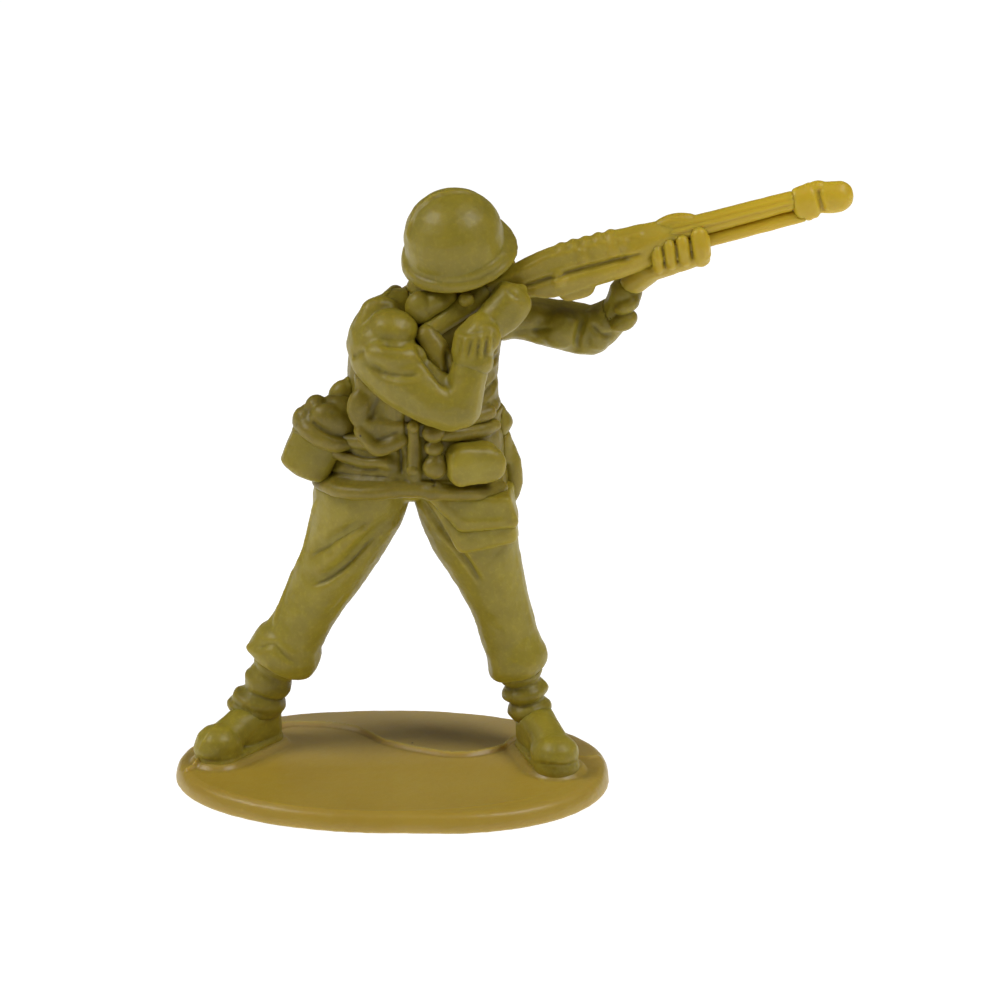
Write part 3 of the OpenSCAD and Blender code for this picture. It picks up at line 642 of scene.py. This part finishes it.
# The edge of the button strip, where the hem's ends meet, and the hem's step on the left.
press(
    skirt,
    trail(
        "jacket_skirt", (0.40, 0.05, 0.92), (0.445, 0.02, 0.72), (0.45, 0.03, 0.52),
        (0.45, 0.03, 0.34)),
    width=0.2, depth=0.34)
press(
    skirt, trail("jacket_skirt", (0.60, 0.03, 0.30), (0.63, 0.03, 0.18), (0.62, 0.03, 0.08)),
    width=0.16, depth=0.22)
press(
    skirt,
    trail("jacket_skirt", (0.64, 0.04, 0.20), (0.75, 0.06, 0.17), (0.9, 0.15, 0.2), (0.98, 0.35, 0.26)),
    width=0.18, depth=0.14, taper=0.15)
# The hem rises at the crotch and drops towards the left hip.
nudge(skirt, (2.2, -3.3, 26.4), reach=(4.2, 2.6, 1.3), by=(0, 0, 0.75))
nudge(skirt, (9.2, -0.8, 26.4), reach=(2.2, 2.2, 1.2), by=(0, 0, -0.4))
# Folds at the back.
for fx, low, high in [(0.25, 0.25, 0.8), (0.42, 0.3, 0.9), (0.60, 0.25, 0.85), (0.78, 0.3, 0.8)]:
    press(
        skirt, trail("jacket_skirt", (fx, 1, high), (fx + 0.03, 1, 0.5), (fx + 0.01, 1, low)),
        width=0.4, depth=0.22, side=back, lips=0.3, taper=0.4)
settle(skirt, painted_shade_olive)
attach(skirt, "root")
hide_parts("jacket_skirt", "jacket_hem", "jacket_pocket_flap", "placket")

studs = blank("jacket_buttons", "placket_buttons")
# Three buttons, and a small tack at each end of the strip beside them.
pads = [lump(spot("placket_buttons", 0.48, 0.38, 0.09), (1.0, 0.7, 0.95)),
        lump(spot("placket_buttons", 0.45, 0.45, 0.48), (0.78, 0.6, 0.6)),
        lump(spot("placket_buttons", 0.42, 0.3, 0.80), (0.9, 0.8, 0.74)),
        lump(spot("placket_buttons", -0.6, 0.3, 0.92), (0.45, 0.5, 0.5)),
        lump(spot("placket_buttons", -0.65, 0.35, 0.05), (0.5, 0.5, 0.6))]
fuse(studs, pads, grain=0.1, rounds=7, plump=0.07)
settle(studs, painted_shade_olive)
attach(studs, "root")
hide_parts("placket_buttons")

# ---- Belt, pouches and sheath
# A web belt carries a square pouch at the front, a soft bag under the right elbow, a knife sheath on
# the left hip and the canteen. All are rounded over like wax, with deep seams where they overlap.

web = blank("belt_web", "waist_belt")
fuse(web, grain=0.12, rounds=5, plump=0.05)
settle(web, painted_shade_olive)
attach(web, "root")
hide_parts("waist_belt")

square_pouch = blank("square_pouch", "front_pouch")
fuse(square_pouch, grain=0.13, rounds=60, plump=0.3)
nudge(square_pouch, spot("front_pouch", 0.55, 0.2, 0.0), reach=(4.0, 2.5, 1.2), by=(0, 0.35, -0.2))
nudge(square_pouch, spot("front_pouch", 0.5, 0.2, 1.0), reach=(4.5, 2.5, 1.2), by=(0, 0.3, -0.3))
settle(square_pouch, painted_lit_olive)
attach(square_pouch, "root")
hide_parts("front_pouch")

bag = blank("elbow_bag", "side_pouch", "side_pouch_flap")
# A thick rolled lower edge, and the fullness of the bag on both sides.
fuse(
    bag,
    [
        roll(
            trail(
                "side_pouch_flap", (0.05, 0.3, 0.45), (0.22, 0.2, 0.16), (0.40, 0.12, -0.10),
                (0.64, 0.1, 0.02), (0.92, 0.15, 0.2)),
            [0.5, 0.6, 0.65, 0.6, 0.5]),
        lump(spot("side_pouch", 0.80, 0.1, 0.35), (0.9, 0.6, 1.3), turn=(0, 10, 0)),
        lump(spot("side_pouch", 0.12, 0.25, 0.25), (1.1, 0.7, 1.7), turn=(0, -6, 0))],
    grain=0.13, rounds=12, plump=0.1)
# The edge of the lid, and two soft folds.
press(
    bag, trail("side_pouch_flap", (0.28, 0.1, 0.12), (0.62, 0.05, 0.34), (0.98, 0.1, 0.56)), width=0.24,
    depth=0.16, taper=0.3)
press(
    bag, trail("side_pouch", (0.50, 0, 0.78), (0.44, 0, 0.5), (0.30, 0, 0.2), (0.24, 0, 0.0)),
    width=0.4, depth=0.24, taper=0.35)
press(
    bag, trail("side_pouch", (0.62, 0, 0.62), (0.85, 0, 0.60), (1.0, 0, 0.66)), width=0.28, depth=0.14)
settle(bag, painted_shade_olive)
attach(bag, "root")
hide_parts("side_pouch", "side_pouch_flap")

sheath = blank("knife_sheath", "hip_sheath")
fuse(
    sheath,
    [
        roll(
            trail(
                "hip_sheath", (0.05, 0.5, 1.0), (0.50, 0.5, 0.66), (0.72, 0.5, 0.32), (0.66, 0.5, 0.02),
                (0.5, 0.5, -0.12)),
            [0.5, 0.8, 0.9, 0.8, 0.55])],
    grain=0.13, rounds=12, plump=0.07)
settle(sheath, olive)
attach(sheath, "root")
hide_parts("hip_sheath")

sheath_top = blank("knife_sheath_top", "hip_sheath_flap")
fuse(sheath_top, grain=0.12, rounds=6, plump=0.06)
settle(sheath_top, olive)
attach(sheath_top, "root")
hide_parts("hip_sheath_flap")

# ---- Canteen
# The round canteen cup under its cover. A thick rolled band runs round the cover's edge, and its two
# lobes hook over the outside. It hangs from the belt behind the right hip.

cup = blank("canteen_cup", "canteen")
fuse(cup, grain=0.14, rounds=7, plump=0.06)
# The parting line.
press(
    cup, trail("canteen", (0.38, 0.6, 0.98), (0.22, 0.3, 0.86), (0.08, 0.25, 0.62), (0.03, 0.3, 0.42)),
    width=0.13, depth=-0.12, side=(-0.5, -1, 0))
settle(cup, olive)
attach(cup, "root")
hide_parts("canteen")

cover = blank("canteen_cover", "canteen_flap")
band = roll(
    trail(
        "canteen_flap", (0.22, 0.85, 0.60), (0.14, 0.55, 0.58), (0.20, 0.25, 0.48), (0.34, 0.08, 0.36),
        (0.5, 0.03, 0.28), (0.7, 0.05, 0.21), (0.84, 0.14, 0.20)),
    [0.5, 0.7, 0.75, 0.75, 0.75, 0.72, 0.6])
fuse(cover, [band, lump(spot("canteen_flap", 0.17, 0.4, 0.58), (0.85, 0.9, 1.0), turn=(0, 25, 0)),
             lump(spot("canteen_flap", 0.36, 0.42, 0.82), (0.85, 0.9, 0.8)),
             lump(spot("canteen_flap", 0.60, 0.18, 0.62), (1.75, 0.85, 1.15), turn=(0, 30, 0))],
     grain=0.13, rounds=16, plump=0.1)
# The groove above the rolled band.
press(
    cover,
    trail(
        "canteen_flap", (0.28, 0.1, 0.64), (0.38, 0.08, 0.54), (0.5, 0.05, 0.45), (0.66, 0.05, 0.37),
        (0.82, 0.1, 0.33), (0.93, 0.2, 0.36)),
    width=0.2, depth=0.15, taper=0.12)
settle(cover, painted_shade_olive)
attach(cover, "root")
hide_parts("canteen_flap")

lug = blank("canteen_lug", "canteen_strap")
fuse(
    lug, [lump(spot("canteen_strap", 0.4, 0.4, 0.35), (1.15, 0.9, 0.9), turn=(0, -50, 0))], grain=0.13,
    rounds=6, plump=0.08)
settle(lug, olive)
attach(lug, "root")
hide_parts("canteen_strap")

# ---- Chest and collar
# The body of the jacket, bloused over the belt, its high soft collar, and the web strap that runs
# over the right shoulder and down the back.

chest = blank("jacket_body", "jacket_chest")
# The bulge over the belt in front, cloth caught in the bend of the arm, and the bulge behind.
blouse = [
    roll(
        trail("jacket_chest", (0.66, 0.06, 0.05), (0.78, 0.1, 0.05), (0.92, 0.22, 0.085)),
        [0.5, 0.62, 0.6]),
    roll([(3.2, -2.4, 40.2), (4.4, -3.0, 38.4), (5.3, -3.3, 36.9)], [0.9, 1.1, 0.9]),
    roll(
        trail(
            "jacket_chest", (0.95, 0.35, 0.10), (0.97, 0.6, 0.09), (0.85, 0.88, 0.07),
            (0.6, 0.96, 0.07), (0.3, 0.92, 0.07), (0.06, 0.7, 0.07)),
        0.5)]
fuse(chest, blouse, grain=0.16, rounds=8, plump=0.05)
# The front opening, and folds on the left side.
press(
    chest, trail("jacket_chest", (0.66, 0.06, 0.66), (0.655, 0.06, 0.52), (0.67, 0.06, 0.38)),
    width=0.28, depth=0.3, lips=0.3)
press(
    chest, trail("jacket_chest", (0.84, 0.08, 0.50), (0.93, 0.3, 0.47), (1.0, 0.5, 0.49)), width=0.3,
    depth=0.3, side=(0.6, -1, 0), lips=0.3)
press(
    chest, trail("jacket_chest", (0.8, 0.08, 0.16), (0.92, 0.25, 0.24), (0.99, 0.5, 0.32)), width=0.3,
    depth=0.28, side=(0.6, -1, 0), lips=0.3)
# The seam down the back, and folds running out from it.
press(
    chest, trail("jacket_chest", (0.52, 1, 0.85), (0.50, 1, 0.5), (0.53, 1, 0.15)), width=0.35,
    depth=0.25, side=back, lips=0.2)
for start, end in [
    ((0.42, 1, 0.24), (0.2, 1, 0.42)), ((0.6, 1, 0.2), (0.82, 1, 0.40)),
    ((0.62, 1, 0.62), (0.88, 1, 0.78)), ((0.4, 1, 0.66), (0.16, 1, 0.80))]:
    middle = [(a + b) / 2 - 0.02 for a, b in zip(start, end)]
    press(
        chest, trail("jacket_chest", start, middle, end), width=0.4, depth=0.3, side=back, lips=0.3,
        taper=0.4)
settle(chest, painted_shade_olive)
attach(chest, "root")
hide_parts("jacket_chest")

neckband = blank("collar_cloth", "collar")
fuse(
    neckband,
    [
        lump(spot("collar", 0.22, 0.14, 0.36), (1.3, 1.0, 1.35), turn=(0, -20, 0)),
        lump(spot("collar", 0.45, 0.16, 0.50), (1.6, 0.9, 0.8), turn=(0, -28, 0))],
    grain=0.13, rounds=12, plump=0.1)
settle(neckband, olive)
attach(neckband, "root")
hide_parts("collar")

strap = blank("shoulder_web", "shoulder_strap")
fuse(strap, grain=0.11, rounds=5, plump=0.06)
settle(strap, olive)
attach(strap, "root")
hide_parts("shoulder_strap")

# ---- Arms
# Full cloth sleeves. The right one is bent double under the rifle's butt and puckers into two big
# folds at the shoulder. The left one reaches forward, with rings of folds at the elbow.

right_sleeve = blank("right_sleeve", "right_upper_sleeve", "right_forearm_sleeve")
# Three puckers at the shoulder, and a roll of cloth over its top.
folds = [
    lump(spot("right_upper_sleeve", 0.35, 0.46, 0.775), (2.0, 1.8, 1.45), turn=(0, 8, 0)),
    lump(spot("right_upper_sleeve", 0.24, 0.46, 0.68), (1.7, 1.6, 1.5)),
    lump(spot("right_upper_sleeve", 0.37, 0.31, 0.595), (2.6, 1.7, 1.25), turn=(0, 8, 0)),
    roll(
        trail(
            "right_upper_sleeve", (0.13, 0.55, 0.78), (0.17, 0.58, 0.88), (0.24, 0.6, 0.93),
            (0.31, 0.6, 0.92)),
        [0.7, 0.85, 0.85, 0.7])]
fuse(right_sleeve, folds, grain=0.15, rounds=22, plump=0.1)
# The creases between the puckers, and the deep one in the bend of the arm.
press(
    right_sleeve,
    trail(
        "right_upper_sleeve", (0.24, 0.3, 0.70), (0.32, 0.3, 0.685), (0.42, 0.3, 0.68),
        (0.50, 0.34, 0.69)),
    width=0.32, depth=0.34, taper=0.35)
press(
    right_sleeve,
    trail(
        "right_upper_sleeve", (0.12, 0.3, 0.56), (0.22, 0.2, 0.51), (0.32, 0.12, 0.485),
        (0.44, 0.11, 0.48), (0.52, 0.13, 0.49), (0.57, 0.2, 0.52)),
    width=0.36, depth=0.36, taper=0.3)
press(
    right_sleeve,
    trail(
        "right_upper_sleeve", (0.50, 0.3, 0.72), (0.56, 0.3, 0.64), (0.63, 0.23, 0.54),
        (0.72, 0.12, 0.43), (0.80, 0.08, 0.34)),
    width=0.34, depth=0.55, taper=0.3)
# A short crease behind the shoulder, and a long swell along the underside.
press(
    right_sleeve, trail("right_upper_sleeve", (0.03, 0.5, 0.49), (0.08, 0.4, 0.58), (0.15, 0.3, 0.64)),
    width=0.3, depth=0.22)
press(
    right_sleeve,
    trail(
        "right_upper_sleeve", (0.0, 0.5, 0.42), (0.08, 0.3, 0.36), (0.22, 0.15, 0.28),
        (0.4, 0.08, 0.18)),
    width=0.5, depth=-0.12)
nudge(right_sleeve, spot("right_forearm_sleeve", 1.0, 0.4, 0.6), reach=(1.3, 2.5, 3.5), by=(-0.4, 0, 0))
# Folds at the back.
for start, end in [((0.12, 1, 0.85), (0.3, 1, 0.66)), ((0.05, 1, 0.62), (0.2, 1, 0.5))]:
    press(
        right_sleeve, trail("right_upper_sleeve", start, end), width=0.4, depth=0.3, side=(-0.8, 1, 0),
        lips=0.2, taper=0.4)
settle(right_sleeve, olive)
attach(right_sleeve, "root")
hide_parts("right_upper_sleeve", "right_forearm_sleeve")

left_sleeve = blank("left_sleeve", "left_upper_sleeve", "left_forearm_sleeve")
fuse(
    left_sleeve,
    [
        lump(spot("left_upper_sleeve", 0.60, 0.30, 0.42), (1.6, 1.2, 1.7), turn=(0, 12, 0)),
        lump(spot("left_upper_sleeve", 0.86, 0.34, 0.40), (1.2, 1.2, 1.8), turn=(0, -10, 0))],
    grain=0.14, rounds=16, plump=0.08)
# Rings of folds at the elbow and the upper arm, and one along each half of the sleeve.
press(
    left_sleeve,
    trail(
        "left_upper_sleeve", (0.78, 0.1, 0.72), (0.74, 0.05, 0.5), (0.72, 0.05, 0.28),
        (0.74, 0.2, 0.10)),
    width=0.3, depth=0.26, lips=0.2, taper=0.3)
press(
    left_sleeve, trail("left_upper_sleeve", (0.46, 0.1, 0.66), (0.42, 0.05, 0.5), (0.40, 0.05, 0.30)),
    width=0.35, depth=0.18, lips=0.2, taper=0.4)
press(
    left_sleeve,
    trail(
        "left_upper_sleeve", (0.05, 0.3, 0.46), (0.22, 0.2, 0.40), (0.40, 0.15, 0.44), (0.6, 0.1, 0.5)),
    width=0.26, depth=0.2)
press(
    left_sleeve, trail("left_forearm_sleeve", (0.0, 0.3, 0.55), (0.35, 0.1, 0.35), (0.75, 0.1, 0.35)),
    width=0.24, depth=0.25)
# Folds at the back.
press(
    left_sleeve, trail("left_upper_sleeve", (0.3, 1, 0.35), (0.5, 1, 0.42), (0.7, 1, 0.38)), width=0.35,
    depth=0.3, side=back)
press(
    left_sleeve, trail("left_upper_sleeve", (0.72, 1, 0.15), (0.76, 1, 0.35), (0.74, 1, 0.55)),
    width=0.3, depth=0.3, side=back)
settle(left_sleeve, olive)
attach(left_sleeve, "root")
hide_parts("left_upper_sleeve", "left_forearm_sleeve")

left_end = blank("left_sleeve_end", "left_cuff")
fuse(
    left_end,
    [
        lump(spot("left_cuff", 0.55, 0.25, 0.18), (1.25, 1.1, 0.75), turn=(0, -30, 0)),
        lump(spot("left_cuff", 0.62, 0.2, 0.52), (1.15, 1.0, 0.7), turn=(0, -30, 0))],
    grain=0.12, rounds=3, plump=0.03)
settle(left_end, olive)
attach(left_end, "root")
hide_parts("left_cuff")

# ---- Rifle
# A semi-automatic rifle as the toy shows it: a butt across the shoulder, one soft block for stock and
# receiver with a long seam, a barrel with a thinner tube under it, a band, and a round muzzle.

# The rifle's own line rises by this many degrees from the heel of the stock, in millimetres.
tilt = 15.3
level = math.radians(tilt)
heel_x, heel_z = 10.2, 44.2


def gun(s, t, y=0):
    """A point of the rifle, s along the barrel and t above its line, in millimetres."""
    return Vector((heel_x + s * math.cos(level) - t * math.sin(level), y,
                   heel_z + s * math.sin(level) + t * math.cos(level)))


# Painted light: a yellower copy of the olive for the glow of light through the thin rifle and fingers,
# with a ramp of painted glow that turns yellower towards the muzzle.
painted_glow_amber = polythene(
    "rifle_painted_glow_polythene", lit=tone(158, 138, 30), body=tone(142, 124, 22), deep=tone(96, 80, 8),
    cloud=500, speck_seed=0.9, painted_light_ramp=(tone(196, 166, 28), "X", 0.014, 0.031))
butt = blank("rifle_butt_bar", "rifle_butt")
fuse(butt, grain=0.12, rounds=5, plump=0.03)
settle(butt, olive)
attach(butt, "root")
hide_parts("rifle_butt")

stock = blank("rifle_body", "rifle_stock", "rifle_receiver", "bolt_handle", "trigger_guard")
# The top and bottom edges of the stock, and a stud on the near face.
details = [
    roll(
        [gun(-1.2, 0.1), gun(1.0, 0.6), gun(3.0, 1.0), gun(6, 1.1), gun(11, 1.05), gun(13.4, 1.0)],
        [0.55, 0.75, 0.8, 0.8, 0.75, 0.6]),
    roll(
        [gun(0.2, -0.85), gun(2.2, -1.15), gun(6, -1.25), gun(11, -1.1), gun(13.0, -0.95)],
        [0.6, 0.85, 0.95, 0.85, 0.6]),
    lump(gun(3.8, -0.6, -1.05), (0.62, 0.5, 0.6))]
# Three bosses along the receiver on each face, and the swell of the stock below them.
for face in (-1, 1):
    details += [
        lump(gun(6.25, 0.75, 0.85 * face), (0.42, 0.5, 0.8), turn=(0, -tilt, 0)),
        lump(gun(8.8, 0.7, 0.85 * face), (0.5, 0.5, 0.75), turn=(0, -tilt, 0)),
        lump(gun(9.7, 0.8, 0.85 * face), (0.5, 0.45, 0.55), turn=(0, -tilt, 0)),
        roll(
            [gun(1.8, -1.0, 0.6 * face), gun(6, -1.15, 0.7 * face), gun(10.6, -1.0, 0.65 * face)],
            [0.55, 0.62, 0.5])]
# The full end of the stock, and five ridges along its top.
details.append(roll([gun(10.4, 0.1), gun(12.0, 0.3), gun(13.6, 0.5)], [1.35, 1.25, 0.85]))
for k in range(5):
    details.append(lump(gun(4.6 + 1.05 * k, 1.62), (0.4, 0.85, 0.38), turn=(0, -tilt, 0)))
fuse(stock, details, grain=0.12, rounds=22, plump=0.12, ripples=0.08)
# The long seam on each face.
for face in (-1, 1):
    press(
        stock,
        [
            gun(0.2, -0.62, face), gun(1.6, -0.42, face), gun(4.0, -0.26, face), gun(7.5, -0.26, face),
            gun(11.4, -0.3, face)],
        width=0.24, depth=0.26, side=(0, face, 0), lips=0.15, taper=0.06)
settle(stock, painted_glow_amber)
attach(stock, "root")
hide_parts("rifle_stock", "rifle_receiver", "bolt_handle", "trigger_guard")

barrel = blank("rifle_barrel_guard", "rifle_barrel", "rear_sight")
fuse(
    barrel, [roll([gun(12.7, 1.15), gun(14.1, 1.6), gun(15.4, 1.15)], [0.55, 0.75, 0.5])], grain=0.12,
    rounds=6, plump=0.04, ripples=0.06)
# Two fine lines along each face.
for face in (-1, 1):
    press(
        barrel, [gun(11.2, 0.42, face), gun(18, 0.40, face), gun(24.6, 0.36, face)], width=0.13,
        depth=0.06, side=(0, face, 0), lips=0.5, taper=0.05)
    press(
        barrel, [gun(11.2, 0.98, face), gun(18, 0.9, face), gun(24.6, 0.8, face)], width=0.12,
        depth=0.05, side=(0, face, 0), lips=0.5, taper=0.05)
settle(barrel, painted_glow_amber)
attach(barrel, "root")
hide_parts("rifle_barrel", "rear_sight")

tube = blank("rifle_lower_tube", "rifle_tube")
fuse(tube, grain=0.12, rounds=5, plump=0.05, ripples=0.06)
settle(tube, painted_glow_amber)
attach(tube, "root")
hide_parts("rifle_tube")

tip = blank("rifle_muzzle", "front_band", "muzzle")
fuse(
    tip,
    [
        lump(gun(24.9, 0.0), (0.75, 0.95, 1.5), turn=(0, -tilt, 0)),
        lump(gun(26.1, 1.0), (0.8, 0.6, 0.6), turn=(0, -tilt, 0)),
        lump(gun(27.6, -0.15), (1.3, 1.1, 1.3))],
    grain=0.12, rounds=4, plump=0.03)
# The waist between the band and the round muzzle.
press(
    tip, [gun(26.3, 1.4, -1), gun(26.15, 0.2, -1), gun(26.3, -1.2, -1)], width=0.2, depth=0.2, lips=0.3)
press(
    tip, [gun(26.3, 1.4, 1), gun(26.15, 0.2, 1), gun(26.3, -1.2, 1)], width=0.2, depth=0.2, side=back,
    lips=0.3)
settle(tip, painted_glow_amber)
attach(tip, "root")
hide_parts("front_band", "muzzle")

# ---- Hands
# The right hand closes round the grip as a fist, its back to the front. The left palm carries the
# fore-end, and its four fingers come up the near side.

fist = blank("right_fist_and_cuff", "right_hand", "right_cuff")
# The folded fingers, and the gathered end of the sleeve.
fuse(
    fist,
    [
        roll(
            trail("right_hand", (0.02, 0.35, 0.02), (0.38, 0.40, 0.42), (0.60, 0.45, 0.70)),
            [1.3, 1.55, 1.3]),
        roll(
            trail("right_hand", (0.34, 0.40, 0.14), (0.60, 0.40, 0.36), (0.82, 0.45, 0.60)),
            [1.1, 1.3, 1.0]),
        lump(spot("right_cuff", 0.48, 0.35, 0.22), (1.75, 1.5, 1.1)),
        lump(spot("right_cuff", 0.72, 0.35, 0.62), (1.35, 1.3, 1.3))],
    grain=0.12, rounds=32, plump=0.11)
nudge(fist, spot("right_cuff", 0.15, 0.3, 0.98), reach=(0.8, 1.2, 0.7), by=(0.3, 0.2, -0.5))
nudge(fist, spot("right_cuff", 1.0, 0.3, 0.4), reach=(1.1, 2.2, 2.2), by=(-0.4, 0, 0))
# Pleats of the gathered sleeve end.
for path, depth in [([(0.10, 0.22, 0.30), (0.13, 0.25, 0.5), (0.19, 0.35, 0.72)], 0.14),
                    ([(0.30, 0.02, 0.30), (0.35, 0.08, 0.50), (0.42, 0.15, 0.74)], 0.2),
                    ([(0.50, 0.02, 0.24), (0.53, 0.08, 0.48), (0.56, 0.2, 0.78)], 0.16),
                    ([(0.68, 0.07, 0.30), (0.69, 0.15, 0.5), (0.73, 0.23, 0.80)], 0.22),
                    ([(0.86, 0.2, 0.35), (0.87, 0.29, 0.52), (0.88, 0.4, 0.78)], 0.18)]:
    press(fist, trail("right_cuff", *path), width=0.2, depth=depth, lips=0.2, taper=0.4)
# The edge of the sleeve, and a line across the knuckles.
press(
    fist, trail("right_cuff", (0.02, 0.3, 0.86), (0.3, 0.1, 0.80), (0.6, 0.1, 0.82), (0.95, 0.3, 0.80)),
    width=0.3, depth=0.12)
press(
    fist, trail("right_hand", (0.50, 0.3, 0.98), (0.66, 0.33, 0.84), (0.84, 0.4, 0.68)), width=0.2,
    depth=0.12)
settle(fist, olive)
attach(fist, "root")
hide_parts("right_hand", "right_cuff")

palm = blank("left_grip", "left_hand", "left_fingers")
# Four fingers, each with its place along the barrel, the height of its tip and its width.
fingers = [
    roll(
        [
            gun(s - 0.25, -2.15, -0.35), gun(s - 0.12, -1.5, -0.95), gun(s, -0.75, -1.05),
            gun(s + 0.08, high, -0.85)],
        [wide, wide, wide, wide * 0.9])
    for s, high, wide in [
        (12.1, -0.3, 0.48), (13.15, -0.22, 0.5), (14.3, -0.2, 0.54), (15.75, -0.1, 0.75)]]
fuse(palm, fingers, grain=0.11, rounds=6, plump=0.03)
# The grooves between the fingers.
for s in (12.62, 13.72, 14.95):
    press(
        palm, [gun(s + 0.08, 0.1, -1.2), gun(s, -0.9, -1.2), gun(s - 0.15, -1.9, -1.2)], width=0.14,
        depth=0.12)
settle(palm, painted_glow_amber)
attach(palm, "root")
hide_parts("left_hand", "left_fingers")

# ---- Head and helmet
# A plain round head under a deep steel helmet, cast as a smooth dome with a flared brim. The mould's
# parting line shows as a thin ridge over the dome.

head = blank("head_form", "head")
# The end of the chin strap, then nose, chin, brow and the far ear.
features = [
    lump((6.4, -2.25, 43.2), (0.6, 0.5, 0.6)),
    lump(spot("head", 0.99, 0.46, 0.40), (0.62, 0.42, 0.62)),
    lump(spot("head", 0.93, 0.46, 0.08), (0.8, 1.0, 0.6)),
    lump(spot("head", 0.94, 0.46, 0.60), (0.6, 1.7, 0.45)),
    lump(spot("head", 0.45, 1.0, 0.36), (0.55, 0.35, 0.8))]
fuse(head, features, grain=0.13, rounds=8, plump=0.06)
# The line of the mouth, and the two lids.
press(
    head, trail("head", (0.98, 0.25, 0.24), (1, 0.46, 0.22), (0.98, 0.67, 0.24)), width=0.16, depth=0.2,
    side=(1, 0, 0))
for fy in (0.28, 0.64):
    press(
        head, trail("head", (0.98, fy - 0.09, 0.50), (0.98, fy, 0.485), (0.98, fy + 0.09, 0.50)),
        width=0.2, depth=0.22, side=(1, 0, 0))
settle(head, olive)
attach(head, "root")
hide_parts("head")

dome = blank("helmet_and_brim", "helmet_shell", "helmet_rim")
fuse(dome, grain=0.11, rounds=22, plump=0.08, ripples=0.06)
# The parting line over the dome.
press(
    dome,
    trail(
        "helmet_shell", (0.05, 0.5, 0.26), (0.052, 0.5, 0.425), (0.084, 0.5, 0.57), (0.13, 0.5, 0.715),
        (0.21, 0.5, 0.82), (0.303, 0.5, 0.90), (0.444, 0.5, 0.95), (0.60, 0.5, 0.965),
        (0.70, 0.5, 0.925)),
    width=0.13, depth=-0.26, taper=0.12)
# The crease above the brim.
press(
    dome,
    trail(
        "helmet_rim", (0.01, 0.51, 0.48), (0.06, 0.3, 0.33), (0.18, 0.13, 0.25), (0.40, 0.03, 0.19),
        (0.61, 0.02, 0.24), (0.74, 0.06, 0.32), (0.84, 0.12, 0.42), (0.92, 0.2, 0.6)),
    width=0.3, depth=0.2, taper=0.12)
nudge(dome, spot("helmet_rim", 0.97, 0.35, 0.92), reach=(1.1, 2.2, 1.2), by=(-0.3, 0, -0.4))
settle(dome, olive)
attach(dome, "root")
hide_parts("helmet_shell", "helmet_rim")

# ---- Floor, light and camera
# A white sweep under a soft white tent that is brighter behind, a soft lamp high on each side, and a
# long lens from a little above.

pick()
bpy.ops.mesh.primitive_plane_add(size=3, location=(0, 0, 0))
floor = bpy.context.object
floor.name = "floor"
paper = bpy.data.materials.new("white_paper")
paper.use_nodes = True
paper_shader = paper.node_tree.nodes["Principled BSDF"]
paper_shader.inputs["Base Color"].default_value = (0.3, 0.3, 0.3, 1)
paper_shader.inputs["Roughness"].default_value = 0.9
paper_shader.inputs["Emission Color"].default_value = (1, 1, 1, 1)
paper_shader.inputs["Emission Strength"].default_value = 0.95
floor.data.materials.append(paper)

world = bpy.data.worlds.new("tent")
bpy.context.scene.world = world
world.use_nodes = True
tent = world.node_tree
toward = tent.nodes.new("ShaderNodeTexCoord")
split = tent.nodes.new("ShaderNodeSeparateXYZ")
fade = tent.nodes.new("ShaderNodeMapRange")
fade.interpolation_type = "SMOOTHSTEP"
fade.inputs["From Min"].default_value = -0.8
fade.inputs["From Max"].default_value = 0.85
fade.inputs["To Min"].default_value = 0.3
fade.inputs["To Max"].default_value = 2.3
tent.links.new(toward.outputs["Generated"], split.inputs["Vector"])
tent.links.new(split.outputs["Y"], fade.inputs["Value"])
tent.links.new(fade.outputs["Result"], tent.nodes["Background"].inputs["Strength"])


def lamp(name, place, aim, size, watts):
    light = bpy.data.lights.new(name, "AREA")
    light.shape = "DISK"
    light.size = size
    light.energy = watts
    holder = bpy.data.objects.new(name, light)
    bpy.context.collection.objects.link(holder)
    holder.location = place
    holder.rotation_euler = (Vector(aim) - Vector(place)).to_track_quat("-Z", "Y").to_euler()


lamp("left_lamp", place=(-0.24, -0.07, 0.28), aim=(0, 0, 0.03), size=0.18, watts=0.62)
lamp("right_lamp", place=(0.20, -0.11, 0.32), aim=(0, 0, 0.03), size=0.18, watts=0.7)

camera = bpy.data.cameras.new("camera")
camera.lens = 163.4
camera.sensor_width = 36
camera.shift_x = 0.01424
camera.shift_y = 0.00305
camera.clip_start = 0.01
camera.clip_end = 10
viewer = bpy.data.objects.new("camera", camera)
bpy.context.collection.objects.link(viewer)
viewer.location = (0.008, -0.36086, 0.14558)
viewer.rotation_euler = (math.radians(71.5), 0, 0)
bpy.context.scene.camera = viewer
bpy.context.scene.view_settings.view_transform = "Standard"
